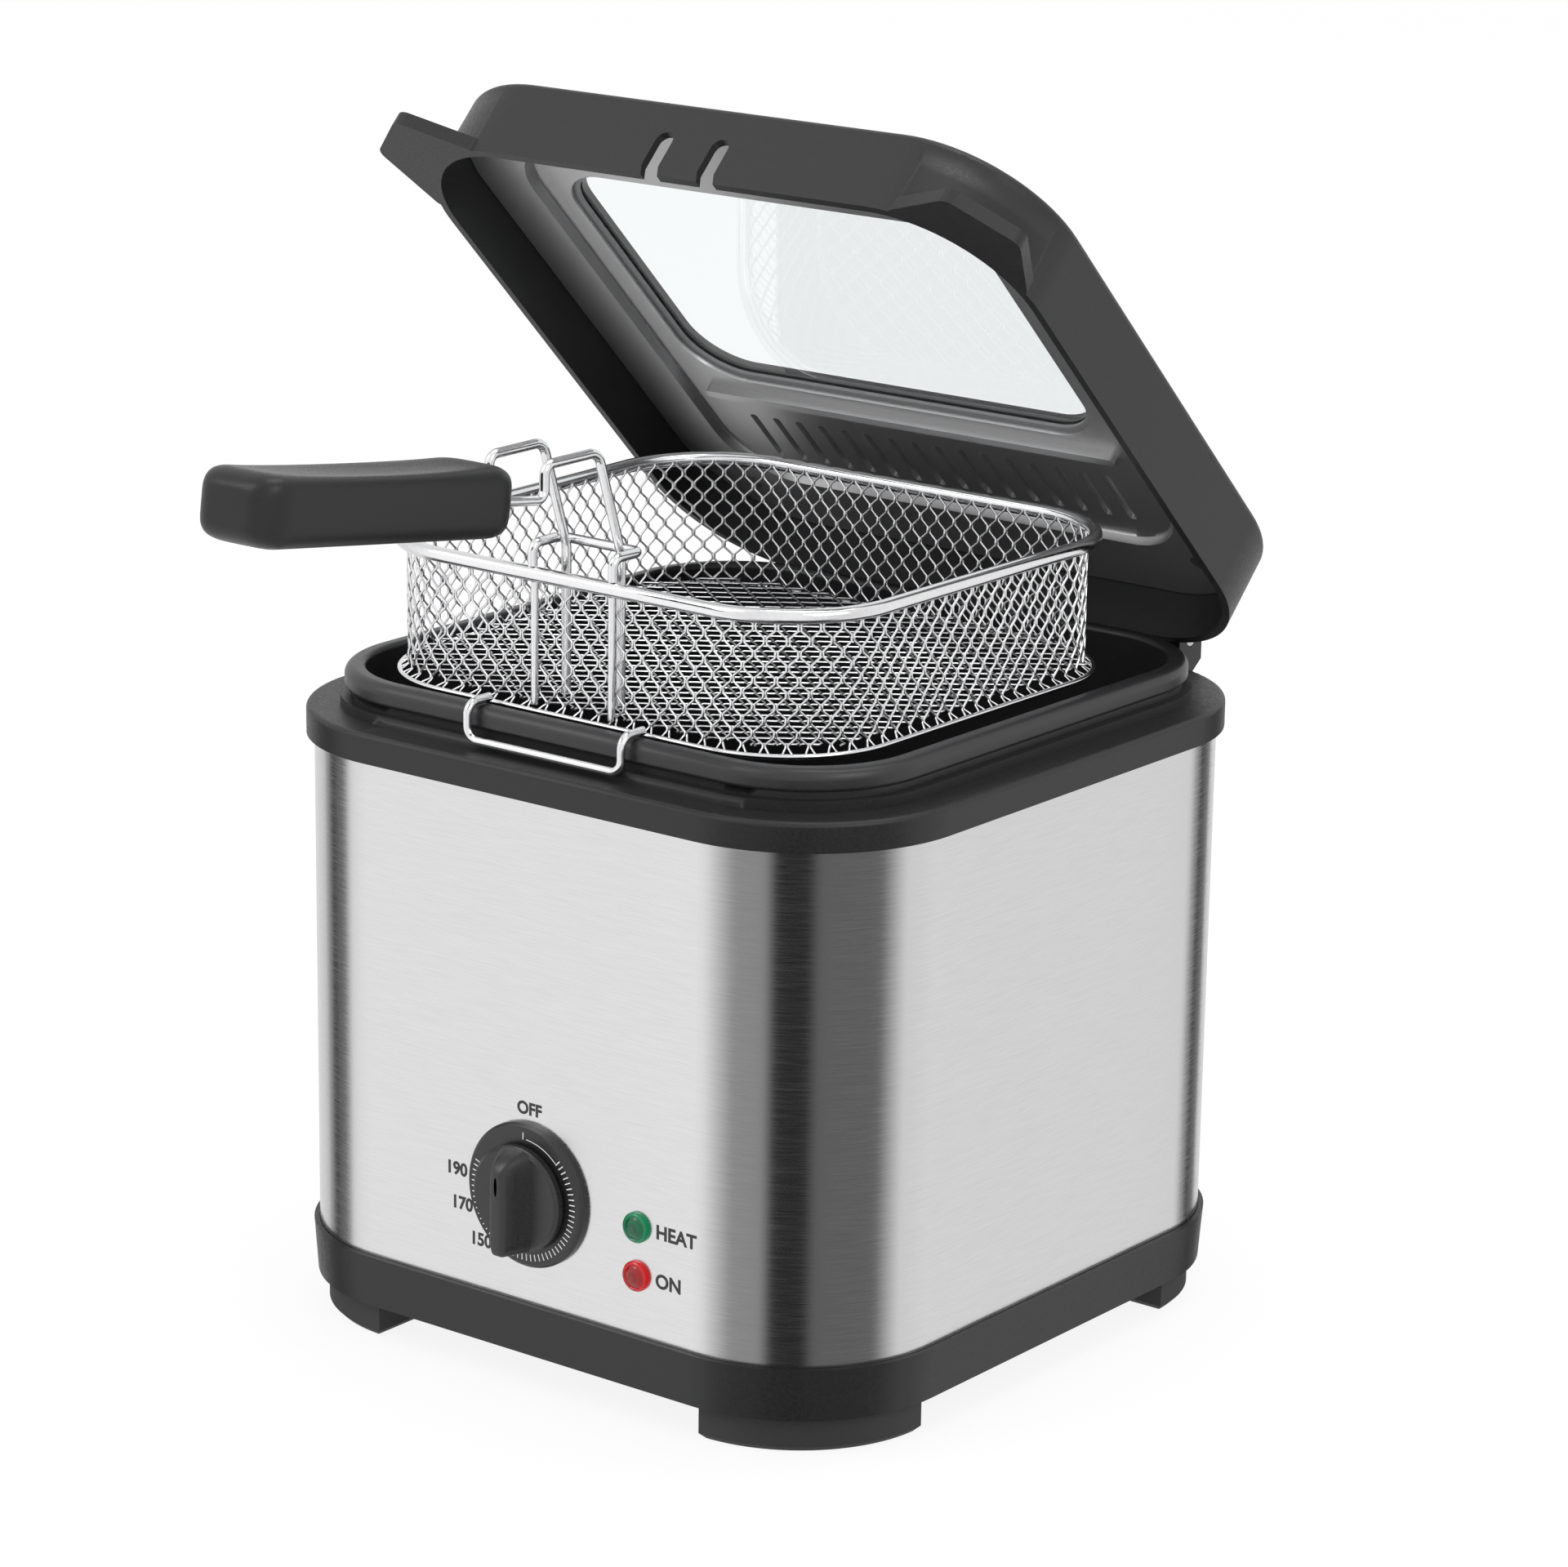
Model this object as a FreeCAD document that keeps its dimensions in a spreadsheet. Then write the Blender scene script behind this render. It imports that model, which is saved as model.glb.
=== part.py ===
import FreeCAD, Part
import math
import os
import re

import Sketcher

V = FreeCAD.Vector
DOC = FreeCAD.newDocument("deep_fryer")
SHEET = DOC.addObject("Spreadsheet::Sheet", "sizes")

# Driving dimensions in millimetres and degrees
SIZES = {
    "body_back": 48.5, "shell_margin": 14, "shell_radius": 44, "shell_wall": 1, "cut_past": 1,
    "foot_height": 10, "foot_width": 24, "foot_inset": 3, "foot_bevel": 1.5,
    "base_height": 14.5, "base_overhang": 1.6, "base_tuck": 1, "base_floor": 3, "base_rim": 10,
    "groove_depth": 4, "fit_gap": 0.15, "collar_height": 8, "collar_overhang": 2.2, "collar_round": 1.5,
    "seat_height": 2.8, "seat_reach": 7, "pot_inside": 172, "pot_radius": 30, "pot_wall": 1.5,
    "pot_floor": 2, "pot_depth": 104.5, "pot_gap": 0.5, "pot_clear": 3.5, "pot_bottom_round": 8,
    "lip_width": 4.3, "lip_height": 2, "bead_width": 5.8, "bead_height": 6, "bead_round": 3, "bead_under": 1.2,
    "tie_radius": 2, "tie_gap": 0.1, "tie_head_radius": 4, "tie_head_height": 2.2, "tie_bite": 6,
    "hinge_out": 6, "hinge_rise": 6.6, "hinge_place": 50, "knuckle_width": 22, "knuckle_radius": 4.5,
    "ear_width": 5, "ear_gap": 0.4, "ear_radius": 5.5, "ear_root": 5, "ear_drop": 7, "ear_bite": 1,
    "pin_radius": 2, "pin_gap": 0.05, "lid_open": 44.8, "lid_inset": 1.5, "lid_radius": 37, "lid_height": 24,
    "lid_wall": 2.3, "lid_top": 2.5, "lid_gap": 0.3, "lid_round": 2.5, "tab_root": 28.5, "tab_out": 8,
    "tab_in": 7.5, "tab_thick": 4, "tab_bite": 4, "tab_round": 4, "notch_width": 5.5, "notch_height": 13.8, "notch_flare": 3,
    "notch_slant": 1.8, "window_side": 30, "window_front": 32.5, "window_rear": 74, "window_radius": 16,
    "window_reveal": 1.5, "glass_lap": 4, "glass_thick": 2, "gasket_width": 4.5, "gasket_thick": 1,
    "panel_gap": 0.4, "panel_thick": 4, "panel_plate": 1.5, "recess_side": 21.5, "recess_end": 22.5,
    "recess_radius": 20, "recess_forward": 4, "recess_bevel": 1.5, "rib_inset": 66.5, "rib_width": 3,
    "rib_round": 1.2, "rib_end": 28.5, "vent_count": 16, "vent_pitch": 8.13, "vent_width": 2.5,
    "vent_round": 1, "vent_length": 20.5, "vent_inset": 44.75, "filter_margin": 3, "filter_thick": 2,
    "screw_inset": 20.5, "screw_end": 21, "screw_radius": 1.6, "screw_head": 3, "screw_head_height": 1.5,
    "boss_radius": 3.6, "screw_gap": 0.1, "dial_height": 55.5, "dial_radius": 20, "dial_thick": 2.6,
    "knob_radius": 15.5, "knob_disc": 3.4, "knob_gap": 0.4, "bar_width": 7, "bar_inset": 0.5, "bar_reach": 7.4,
    "bar_round": 1.5, "shaft_radius": 3, "shaft_gap": 0.05, "shaft_length": 24, "knob_bore": 8,
    "bush_radius": 5, "thermostat_width": 34, "thermostat_deep": 24, "lamp_side": 36.9, "lamp_height": 41.5,
    "lamp_pitch": 13.5, "lamp_radius": 4.2, "lamp_dome": 2.4, "lamp_stem": 3.4, "lamp_stem_length": 14,
    "plate_inset": 21, "plate_thick": 3, "element_radius": 4, "element_inset": 20, "element_straight": 5,
    "element_tail": 16, "bulb_radius": 3, "bulb_length": 60, "bulb_inset": 7, "shield_margin": 8,
    "shield_thick": 1, "post_radius": 4, "post_place": 52, "post_height": 30, "gland_side": 50,
    "gland_height": 40, "gland_radius": 8, "gland_neck": 6, "gland_out": 4, "gland_in": 8,
    "block_width": 34, "block_deep": 16, "block_height": 14, "block_inset": 24,
    "basket_forward": 9.5, "basket_sink": 2, "basket_tall": 40, "basket_side_gap": 7, "basket_front_gap": 1,
    "rim_wire": 2, "rim_bend": 32, "ring_wire": 1.5, "net_inset": 2, "net_thick": 1.2, "net_drop": 1.8,
    "net_gap": 0.1, "net_bar": 1.5, "net_pitch_wide": 8.9, "net_pitch_tall": 7.8, "floor_pitch": 12,
    "strap_half": 13, "strap_wire": 1, "wire_side": 9.2, "wire_radius": 1.3, "leg_inset": 8.5,
    "leg_low": 5, "leg_tall": 45, "hump_rise": 73.5, "hump_far": 22, "hump_near": 1, "hump_bend": 4.5,
    "leg_bend": 9, "dip": 9, "dip_bend": 2.7, "grip_out": 34, "grip_tilt": 8, "grip_length": 95,
    "grip_width": 26, "grip_height": 19, "grip_round": 8, "grip_side_round": 5.5, "grip_bite": 14,
    "retainer_half": 13.5, "retainer_rise": 6, "hook_half": 26, "hook_wire": 1.2, "hook_bar_gap": 0.3,
    "hook_bar_up": 2.6, "hook_gap": 0.2, "hook_bend": 3.5, "hook_tail": 0.3,
}
# Sizes that follow from the ones above
DERIVED = {
    "shell_width": "pot_inside + 2 * shell_margin",
    "pot_low": "dial_height + thermostat_width / 2 + pot_clear",
    "rim_top": "pot_low + pot_floor + pot_depth",
    "basket_low": "rim_top - basket_sink",
    "shell_corner": "(shell_width / 2 - shell_radius) * sqrt(2) + shell_radius - shell_wall",
    "pot_corner": "(pot_inside / 2 - pot_radius) * sqrt(2) + pot_radius + pot_wall + pot_gap",
    "tie_place": "(shell_corner + pot_corner) / 2 / sqrt(2)",
    "hinge_back": "shell_width / 2 + hinge_out",
    "lid_width": "shell_width - 2 * lid_inset",
    "window_width": "lid_width - 2 * window_side",
    "window_depth": "lid_width - window_front - window_rear",
    "window_forward": "(window_rear - window_front) / 2",
    "recess_width": "lid_width - 2 * recess_side",
    "recess_depth": "lid_width - 2 * recess_end",
    "rib_back": "lid_width / 2 - rib_inset",
    "rib_length": "lid_width - 2 * rib_end",
    "vent_back": "lid_width / 2 - vent_inset",
    "screw_side": "lid_width / 2 - screw_inset",
    "screw_along": "lid_width / 2 - screw_end",
    "plate_width": "pot_inside - 2 * plate_inset",
    "element_half": "plate_width / 2 - element_inset",
    "element_bend": "element_half - element_straight",
    "bulb_forward": "plate_width / 2 - bulb_inset",
    "shield_width": "2 * post_place + 2 * shield_margin",
    "block_back": "shell_width / 2 - block_inset",
    "rim_half_wide": "pot_inside / 2 - basket_side_gap - rim_wire",
    "rim_half_deep": "pot_inside / 2 - basket_forward - basket_front_gap - rim_wire",
    "hump_back": "basket_forward + rim_half_deep + hump_near",
    "hump_front": "basket_forward + rim_half_deep + hump_far",
    "grip_start": "basket_forward + rim_half_deep + grip_out",
}
NAMES = set(SIZES) | set(DERIVED)
ROWS = list(SIZES.items()) + [(name, f"={text}") for name, text in DERIVED.items()]
for row, (name, entry) in enumerate(ROWS, 1):
    SHEET.set(f"A{row}", name)
    SHEET.set(f"B{row}", str(entry))
    SHEET.setAlias(f"B{row}", name)
DOC.recompute()

# Heights above the table
BASE_TOP = "(foot_height + base_height)"
RIM_TOP = "rim_top"
BEAD_LOW = "(rim_top - bead_height)"
SEAT_TOP = f"({BEAD_LOW} - lip_height)"
COLLAR_TOP = f"({SEAT_TOP} - seat_height)"
COLLAR_LOW = f"({COLLAR_TOP} - collar_height)"
POT_LOW = "pot_low"
HINGE_UP = f"({COLLAR_TOP} + hinge_rise)"
FLOOR_TOP = "(foot_height + base_floor)"
# Heights in the lid, measured from its hinge axis
LID_LOW = "(lid_gap - hinge_rise)"
LID_CEILING = f"({LID_LOW} + lid_height - lid_top)"
PLATE_TOP = f"({LID_CEILING} - glass_thick - gasket_thick)"
PANEL_LOW = f"({PLATE_TOP} - panel_thick)"
FRONT = "(shell_width / 2)"
NODES = []


def bind(text):
    """Prefix every size name in an expression with the sheet's name."""
    return re.sub(r"[a-z_]+", lambda word: f"sizes.{word[0]}" if word[0] in NAMES else word[0], text)


def val(text):
    """Number that an expression of sizes gives."""
    return float(SHEET.evalExpression(str(text)))


def node(item, back="body_back", up="0", side="0", turn=None, about=V(0, 0, 1)):
    """Label a finished sub-part and put it in its place."""
    item.Placement = FreeCAD.Placement(V(val(side), val(back), val(up)), FreeCAD.Rotation(about, 0))
    if turn:
        item.Placement.Rotation = FreeCAD.Rotation(about, val(turn))
    if item.TypeId != "Part::Feature":
        for path, text in (("x", side), ("y", back), ("z", up)):
            item.setExpression(f"Placement.Base.{path}", bind(text))
        if turn:
            item.setExpression("Placement.Rotation.Angle", bind(turn))
    NODES.append(item)
    return item


def new_body(name):
    return DOC.addObject("PartDesign::Body", name)


def sketch(body, role="XY_Plane", across="0", along="0", out="0"):
    """Sketch on an origin plane, shifted in that plane and along its normal."""
    plane = next(item for item in body.Origin.OriginFeatures if item.Role == role)
    item = body.newObject("Sketcher::SketchObject", body.Name + "_sketch")
    item.AttachmentSupport = [(plane, "")]
    item.MapMode = "FlatFace"
    for path, text in (("x", across), ("y", along), ("z", out)):
        item.setExpression(f"AttachmentOffset.Base.{path}", bind(text))
    return item


def limit(item, kind, *where, text):
    """Add a constraint whose value follows an expression."""
    index = item.addConstraint(Sketcher.Constraint(kind, *where, val(text)))
    item.setExpression(f"Constraints[{index}]", bind(text))


def rounded(item, width, depth, radius):
    """Rounded rectangle centred on the sketch."""
    a, b, r = val(width) / 2, val(depth) / 2, val(radius)
    z = V(0, 0, 1)
    corners = [(a - r, r - b, 270), (a - r, b - r, 0), (r - a, b - r, 90), (r - a, r - b, 180)]
    ends = [(r - a, -b, a - r, -b), (a, r - b, a, b - r), (a - r, b, r - a, b), (-a, b - r, -a, r - b)]
    ids = []
    for (x, y, start), (x1, y1, x2, y2) in zip(corners, ends):
        ids.append(item.addGeometry(Part.LineSegment(V(x1, y1, 0), V(x2, y2, 0))))
        sweep = (math.radians(start), math.radians(start + 90))
        ids.append(item.addGeometry(Part.ArcOfCircle(Part.Circle(V(x, y, 0), z, r), *sweep)))
    for first, second in zip(ids, ids[1:] + ids[:1]):
        item.addConstraint(Sketcher.Constraint("Tangent", first, 2, second, 1))
    for arc in ids[3::2]:
        item.addConstraint(Sketcher.Constraint("Equal", ids[1], arc))
    item.addConstraint(Sketcher.Constraint("Symmetric", ids[0], 1, ids[0], 2, -2))
    item.addConstraint(Sketcher.Constraint("Symmetric", ids[2], 1, ids[2], 2, -1))
    item.addConstraint(Sketcher.Constraint("Horizontal", ids[4]))
    item.addConstraint(Sketcher.Constraint("Vertical", ids[6]))
    limit(item, "DistanceX", ids[6], 1, ids[2], 1, text=width)
    limit(item, "DistanceY", ids[0], 1, ids[4], 1, text=depth)
    limit(item, "Radius", ids[1], text=radius)


def circles(item, centres, radius):
    """Equal circles about the given centres."""
    for x, y in centres:
        ring = item.addGeometry(Part.Circle(V(val(x), val(y), 0), V(0, 0, 1), val(radius)))
        limit(item, "DistanceX", -1, 1, ring, 3, text=x)
        limit(item, "DistanceY", -1, 1, ring, 3, text=y)
        limit(item, "Radius", ring, text=radius)


def polygon(item, points):
    """Closed outline of straight lines through the given points."""
    spots = [V(val(x), val(y), 0) for x, y in points]
    ids = [item.addGeometry(Part.LineSegment(a, b)) for a, b in zip(spots, spots[1:] + spots[:1])]
    for first, second in zip(ids, ids[1:] + ids[:1]):
        item.addConstraint(Sketcher.Constraint("Coincident", first, 2, second, 1))
    for line, (x, y) in zip(ids, points):
        limit(item, "DistanceX", -1, 1, line, 1, text=x)
        limit(item, "DistanceY", -1, 1, line, 1, text=y)


def box_points(x0, x1, y0, y1):
    return [(x0, y0), (x1, y0), (x1, y1), (x0, y1)]


def pad(body, profile, length, back=False):
    """Pad a sketch along its normal, or against it."""
    item = body.newObject("PartDesign::Pad", body.Name + "_pad")
    item.Profile = profile
    item.Reversed = back
    item.setExpression("Length", bind(length))
    DOC.recompute()
    return item


def pocket(body, profile, length, back=False):
    """Cut a sketch into the body against its normal, or along it, and see that it cuts."""
    before = body.Shape.Volume
    item = body.newObject("PartDesign::Pocket", body.Name + "_pocket")
    item.Profile = profile
    item.Reversed = back
    item.setExpression("Length", bind(length))
    DOC.recompute()
    if body.Shape.Volume > before - 1e-6:
        raise ValueError(f"{item.Name} cuts nothing")
    return item


def soften(body, radius, test, kind="Fillet"):
    """Round or bevel the edges that pass a test on their bounding box and length."""
    base = body.Tip
    names = [f"Edge{n}" for n, edge in enumerate(base.Shape.Edges, 1) if test(edge.BoundBox)]
    item = body.newObject(f"PartDesign::{kind}", f"{body.Name}_{kind}")
    item.Base = (base, names)
    item.setExpression("Radius" if kind == "Fillet" else "Size", bind(radius))
    DOC.recompute()


def level(height, least=0.0):
    """Test for an edge that lies flat at a height, at least so far out from the centre."""
    z = val(height)
    return lambda box: max(abs(box.ZMin - z), abs(box.ZMax - z)) < 1e-4 and max(
        abs(box.XMin), abs(box.XMax), abs(box.YMin), abs(box.YMax)) > least - 1e-4


def spread(half, also=None):
    """Four places, mirrored both ways."""
    other = also or half
    return [(x, y) for x in (half, f"-{half}") for y in (other, f"-{other}")]


def bent(points, bends, radius):
    """Round wire along straight runs joined by tangent arcs; a closed route repeats its first point."""
    spots = [V(*p) for p in points]
    loop = (spots[0] - spots[-1]).Length < 1e-9
    if loop:
        middle = (spots[0] + spots[1]) * 0.5
        spots = [middle] + spots[1:] + [middle]
    edges = []
    start = spots[0]
    for before, spot, after, bend in zip(spots, spots[1:], spots[2:], bends):
        back = (before - spot).normalize()
        ahead = (after - spot).normalize()
        half_turn = (math.pi - back.getAngle(ahead)) / 2
        reach = bend * math.tan(half_turn)
        middle = spot + (back + ahead).normalize() * (bend / math.cos(half_turn) - bend)
        edges.append(Part.LineSegment(start, spot + back * reach).toShape())
        edges.append(Part.Arc(spot + back * reach, middle, spot + ahead * reach).toShape())
        start = spot + ahead * reach
    edges.append(Part.LineSegment(start, spots[-1]).toShape())
    route = Part.Wire(edges)
    section = Part.Wire(Part.makeCircle(radius, spots[0], spots[1] - spots[0]))
    tube = route.makePipeShell([section], True, False)
    if abs(tube.Volume / (math.pi * radius ** 2 * route.Length) - 1) > 0.01:
        raise ValueError("bent wire has the wrong volume")
    return tube


def feature(name, shape, **place):
    item = DOC.addObject("Part::Feature", name)
    item.Shape = shape
    drawn = shape.Placement
    node(item, **place)
    item.Placement = item.Placement.multiply(drawn)
    return item


def diamonds(wide, tall, pitch_wide, pitch_tall, bar, keep=lambda x, y: True):
    """Places and half sizes of the gaps of a diamond net."""
    a, b = pitch_wide / 2, pitch_tall / 2
    share = 1 - bar / 2 * math.hypot(a, b) / (a * b)
    a, b = a * share, b * share
    spots = []
    for j in range(-40, 41):
        for i in range(-40, 41):
            x, y = i * pitch_wide / 2, j * pitch_tall / 2
            inside = abs(x) + a < wide / 2 - bar / 2 and abs(y) + b < tall / 2 - bar / 2
            if (i + j) % 2 == 0 and inside and keep(x, y):
                spots.append((x, y))
    return spots, a, b


def flat_net(outline, spots, a, b, thick):
    """One holed face made into a sheet."""
    holes = []
    for x, y in spots:
        ring = [V(x - a, y, 0), V(x, y - b, 0), V(x + a, y, 0), V(x, y + b, 0), V(x - a, y, 0)]
        holes.append(Part.makePolygon(ring))
    return Part.makeFace([outline] + holes, "Part::FaceMakerBullseye").extrude(V(0, 0, thick))


# Outer shell
shell = new_body("outer_shell")
item = sketch(shell, out=f"{BASE_TOP} - groove_depth")
rounded(item, "shell_width", "shell_width", "shell_radius")
rounded(item, "shell_width - 2 * shell_wall", "shell_width - 2 * shell_wall", "shell_radius - shell_wall")
pad(shell, item, f"{COLLAR_LOW} - {BASE_TOP} + 2 * groove_depth - fit_gap")
item = sketch(shell, "XZ_Plane", out=f"{FRONT} + cut_past")
circles(item, [("0", "dial_height")], "bush_radius + fit_gap")
lamps = [("lamp_side", "lamp_height"), ("lamp_side", "lamp_height + lamp_pitch")]
circles(item, lamps, "lamp_stem + fit_gap")
pocket(shell, item, "2 * cut_past + 2 * shell_wall")
item = sketch(shell, "XZ_Plane", out=f"-{FRONT} - cut_past")
circles(item, [("gland_side", "gland_height")], "gland_neck + fit_gap")
pocket(shell, item, "2 * cut_past + 2 * shell_wall", back=True)
node(shell)

# Base tray with posts for the heat shield
base = new_body("base_tray")
low = sketch(base, out="foot_height")
wide = "shell_width + 2 * base_overhang"
rounded(low, f"{wide} - 2 * base_tuck", f"{wide} - 2 * base_tuck", "shell_radius + base_overhang - base_tuck")
high = sketch(base, out=BASE_TOP)
rounded(high, wide, wide, "shell_radius + base_overhang")
loft = base.newObject("PartDesign::AdditiveLoft", "base_loft")
loft.Profile = low
loft.Sections = [high]
loft.Ruled = True
DOC.recompute()
item = sketch(base, out=BASE_TOP)
inner = "shell_width - 2 * base_rim"
rounded(item, inner, inner, "shell_radius - base_rim")
pocket(base, item, "base_height - base_floor")


def shell_groove(body, height, back):
    """Groove that takes the edge of the outer shell."""
    item = sketch(body, out=height)
    rounded(item, "shell_width + 2 * fit_gap", "shell_width + 2 * fit_gap", "shell_radius + fit_gap")
    inside = "shell_width - 2 * shell_wall - 2 * fit_gap"
    rounded(item, inside, inside, "shell_radius - shell_wall - fit_gap")
    pocket(body, item, "groove_depth", back)


shell_groove(base, BASE_TOP, False)
item = sketch(base, out=FLOOR_TOP)
circles(item, spread("post_place"), "post_radius")
pad(base, item, "post_height")
item = sketch(base, out=BASE_TOP)
circles(item, spread("tie_place"), "tie_radius + tie_gap")
pocket(base, item, "base_height")
item = sketch(base, out="foot_height")
circles(item, spread("tie_place"), "tie_head_radius + tie_gap")
pocket(base, item, "tie_head_height", back=True)
node(base)

# Corner feet, each a quarter ring about the shell's corner
for name, side, back, turn in (("front_left", "-", "-", 180), ("front_right", "", "-", 270),
                               ("rear_right", "", "", 0), ("rear_left", "-", "", 90)):
    foot = new_body(f"foot_{name}")
    item = sketch(foot, "XZ_Plane")
    reach = "shell_radius + base_overhang - base_tuck - foot_inset"
    polygon(item, box_points(f"{reach} - foot_width", reach, "0", "foot_height"))
    turned = foot.newObject("PartDesign::Revolution", f"{foot.Name}_turn")
    turned.Profile = item
    turned.ReferenceAxis = (item, ["V_Axis"])
    turned.Angle = 90
    DOC.recompute()
    soften(foot, "foot_bevel", level("0"), "Chamfer")
    corner = f"({FRONT} - shell_radius)"
    node(foot, f"body_back + {back}{corner}", "0", f"{side}{corner}", str(turn))

# Top collar with its seat ring and hinge ears
collar = new_body("top_collar")
item = sketch(collar, out=COLLAR_LOW)
wide = "shell_width + 2 * collar_overhang"
rounded(item, wide, wide, "shell_radius + collar_overhang")
pad(collar, item, "collar_height")
soften(collar, "collar_round", level(COLLAR_TOP))
item = sketch(collar, out=COLLAR_TOP)
rounded(item, "shell_width - 2 * seat_reach", "shell_width - 2 * seat_reach", "shell_radius - seat_reach")
pad(collar, item, "seat_height")
EARS = [f"{sign}hinge_place + {shift}" for sign in ("", "-")
        for shift in ("knuckle_width / 2 + ear_gap", "(-knuckle_width / 2 - ear_gap - ear_width)")]
for place in EARS:
    item = sketch(collar, "YZ_Plane", out=place)
    root = f"{FRONT} + collar_overhang - ear_root"
    face = "hinge_back - ear_radius"
    rear = "hinge_back + ear_radius"
    under = f"{COLLAR_TOP} - ear_drop"
    polygon(item, [(root, under), (f"{FRONT} + collar_overhang", under), (rear, COLLAR_TOP), (rear, HINGE_UP),
                   (face, HINGE_UP), (face, f"{COLLAR_TOP} - ear_bite"), (root, f"{COLLAR_TOP} - ear_bite")])
    pad(collar, item, "ear_width")
    item = sketch(collar, "YZ_Plane", out=place)
    circles(item, [("hinge_back", HINGE_UP)], "ear_radius")
    pad(collar, item, "ear_width")
item = sketch(collar, out=f"{SEAT_TOP}")
opening = "pot_inside + 2 * pot_wall + 2 * pot_gap"
rounded(item, opening, opening, "pot_radius + pot_wall + pot_gap")
pocket(collar, item, "collar_height + seat_height")
shell_groove(collar, COLLAR_LOW, True)
item = sketch(collar, out=COLLAR_LOW)
circles(item, spread("tie_place"), "tie_radius")
pocket(collar, item, "tie_bite", back=True)
ear_span = "(hinge_place + knuckle_width / 2 + ear_gap + ear_width)"
item = sketch(collar, "YZ_Plane", out=ear_span)
circles(item, [("hinge_back", HINGE_UP)], "pin_radius")
pocket(collar, item, f"2 * {ear_span}")
node(collar)

# Hinge pins
pins = new_body("hinge_pins")
half_pin = "(knuckle_width / 2 + ear_gap + ear_width)"
for sign in ("", "-"):
    item = sketch(pins, "YZ_Plane", out=f"{sign}hinge_place - {half_pin}")
    circles(item, [("hinge_back", HINGE_UP)], "pin_radius")
    pad(pins, item, f"2 * {half_pin}")
node(pins)

# Oil pot with its rolled rim
pot = new_body("oil_pot")
item = sketch(pot, out=POT_LOW)
wide = "pot_inside + 2 * pot_wall"
rounded(item, wide, wide, "pot_radius + pot_wall")
pad(pot, item, f"{RIM_TOP} - {POT_LOW}")
for low, width, tall in ((SEAT_TOP, "lip_width", "lip_height"), (BEAD_LOW, "bead_width", "bead_height")):
    item = sketch(pot, out=low)
    rounded(item, f"pot_inside + 2 * {width}", f"pot_inside + 2 * {width}", f"pot_radius + {width}")
    pad(pot, item, tall)
soften(pot, "bead_round", level(RIM_TOP))
soften(pot, "bead_under", level(BEAD_LOW, val("pot_inside / 2 + bead_width")))
item = sketch(pot, out=RIM_TOP)
rounded(item, "pot_inside", "pot_inside", "pot_radius")
pocket(pot, item, "pot_depth")
soften(pot, "pot_bottom_round - pot_wall", level(f"{POT_LOW} + pot_floor"))
soften(pot, "pot_bottom_round", level(POT_LOW))
beyond = level(RIM_TOP, val("pot_inside / 2") + 0.5)
soften(pot, "bead_round / 2", lambda box: level(RIM_TOP)(box) and not beyond(box))
node(pot)

# Long screws that tie the base to the collar
ties = new_body("tie_screws")
item = sketch(ties, out="foot_height")
circles(item, spread("tie_place"), "tie_head_radius")
pad(ties, item, "tie_head_height")
item = sketch(ties, out="foot_height")
circles(item, spread("tie_place"), "tie_radius")
pad(ties, item, f"{COLLAR_LOW} + tie_bite - foot_height")
node(ties)


def turned_part(name, outline, **place):
    """Solid of revolution about the Y axis; the outline gives radius and depth."""
    body = new_body(name)
    item = sketch(body)
    polygon(item, outline)
    turn = body.newObject("PartDesign::Revolution", f"{name}_turn")
    turn.Profile = item
    turn.ReferenceAxis = (item, ["V_Axis"])
    turn.Angle = 360
    DOC.recompute()
    return node(body, **place)


# Controls on the front
turned_part("dial_ring", [
    ("bush_radius + fit_gap", f"-{FRONT}"), ("dial_radius", f"-{FRONT}"), ("dial_radius", f"-{FRONT} - dial_thick / 2"),
    ("dial_radius - dial_thick / 2", f"-{FRONT} - dial_thick"), ("bush_radius + fit_gap", f"-{FRONT} - dial_thick"),
], up="dial_height")
inside_front = f"-{FRONT} + shell_wall"
bore = "shaft_radius + shaft_gap"
turned_part("thermostat_body", [
    (bore, f"-{FRONT} - dial_thick"), ("bush_radius", f"-{FRONT} - dial_thick"), ("bush_radius", inside_front),
    ("thermostat_width / 2", inside_front), ("thermostat_width / 2", f"{inside_front} + thermostat_deep"),
    (bore, f"{inside_front} + thermostat_deep"),
], up="dial_height")
for colour, height in (("red", "lamp_height"), ("green", "lamp_height + lamp_pitch")):
    turned_part(f"lamp_lens_{colour}", [
        ("0", f"-{FRONT} - lamp_dome"), ("lamp_radius / 2", f"-{FRONT} - lamp_dome"),
        ("lamp_radius", f"-{FRONT} - lamp_dome / 3"), ("lamp_radius", f"-{FRONT}"), ("lamp_stem", f"-{FRONT}"),
        ("lamp_stem", f"-{FRONT} + lamp_stem_length"), ("0", f"-{FRONT} + lamp_stem_length"),
    ], up=height, side="lamp_side")
knob_back = f"({FRONT} + dial_thick + knob_gap)"
knob = new_body("thermostat_knob")
item = sketch(knob, "XZ_Plane", out=knob_back)
circles(item, [("0", "0")], "knob_radius")
pad(knob, item, "knob_disc")
item = sketch(knob, "XZ_Plane", out=f"{knob_back} + knob_disc")
rounded(item, "bar_width", "2 * knob_radius - 2 * bar_inset", "bar_round")
pad(knob, item, "bar_reach")
item = sketch(knob, "XZ_Plane", out=knob_back)
circles(item, [("0", "0")], "shaft_radius")
pocket(knob, item, "knob_bore", back=True)
node(knob, up="dial_height")
shaft = new_body("thermostat_shaft")
item = sketch(shaft, "XZ_Plane", out=f"{knob_back} + knob_bore - shaft_length")
circles(item, [("0", "0")], "shaft_radius")
pad(shaft, item, "shaft_length")
node(shaft, up="dial_height")

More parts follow.
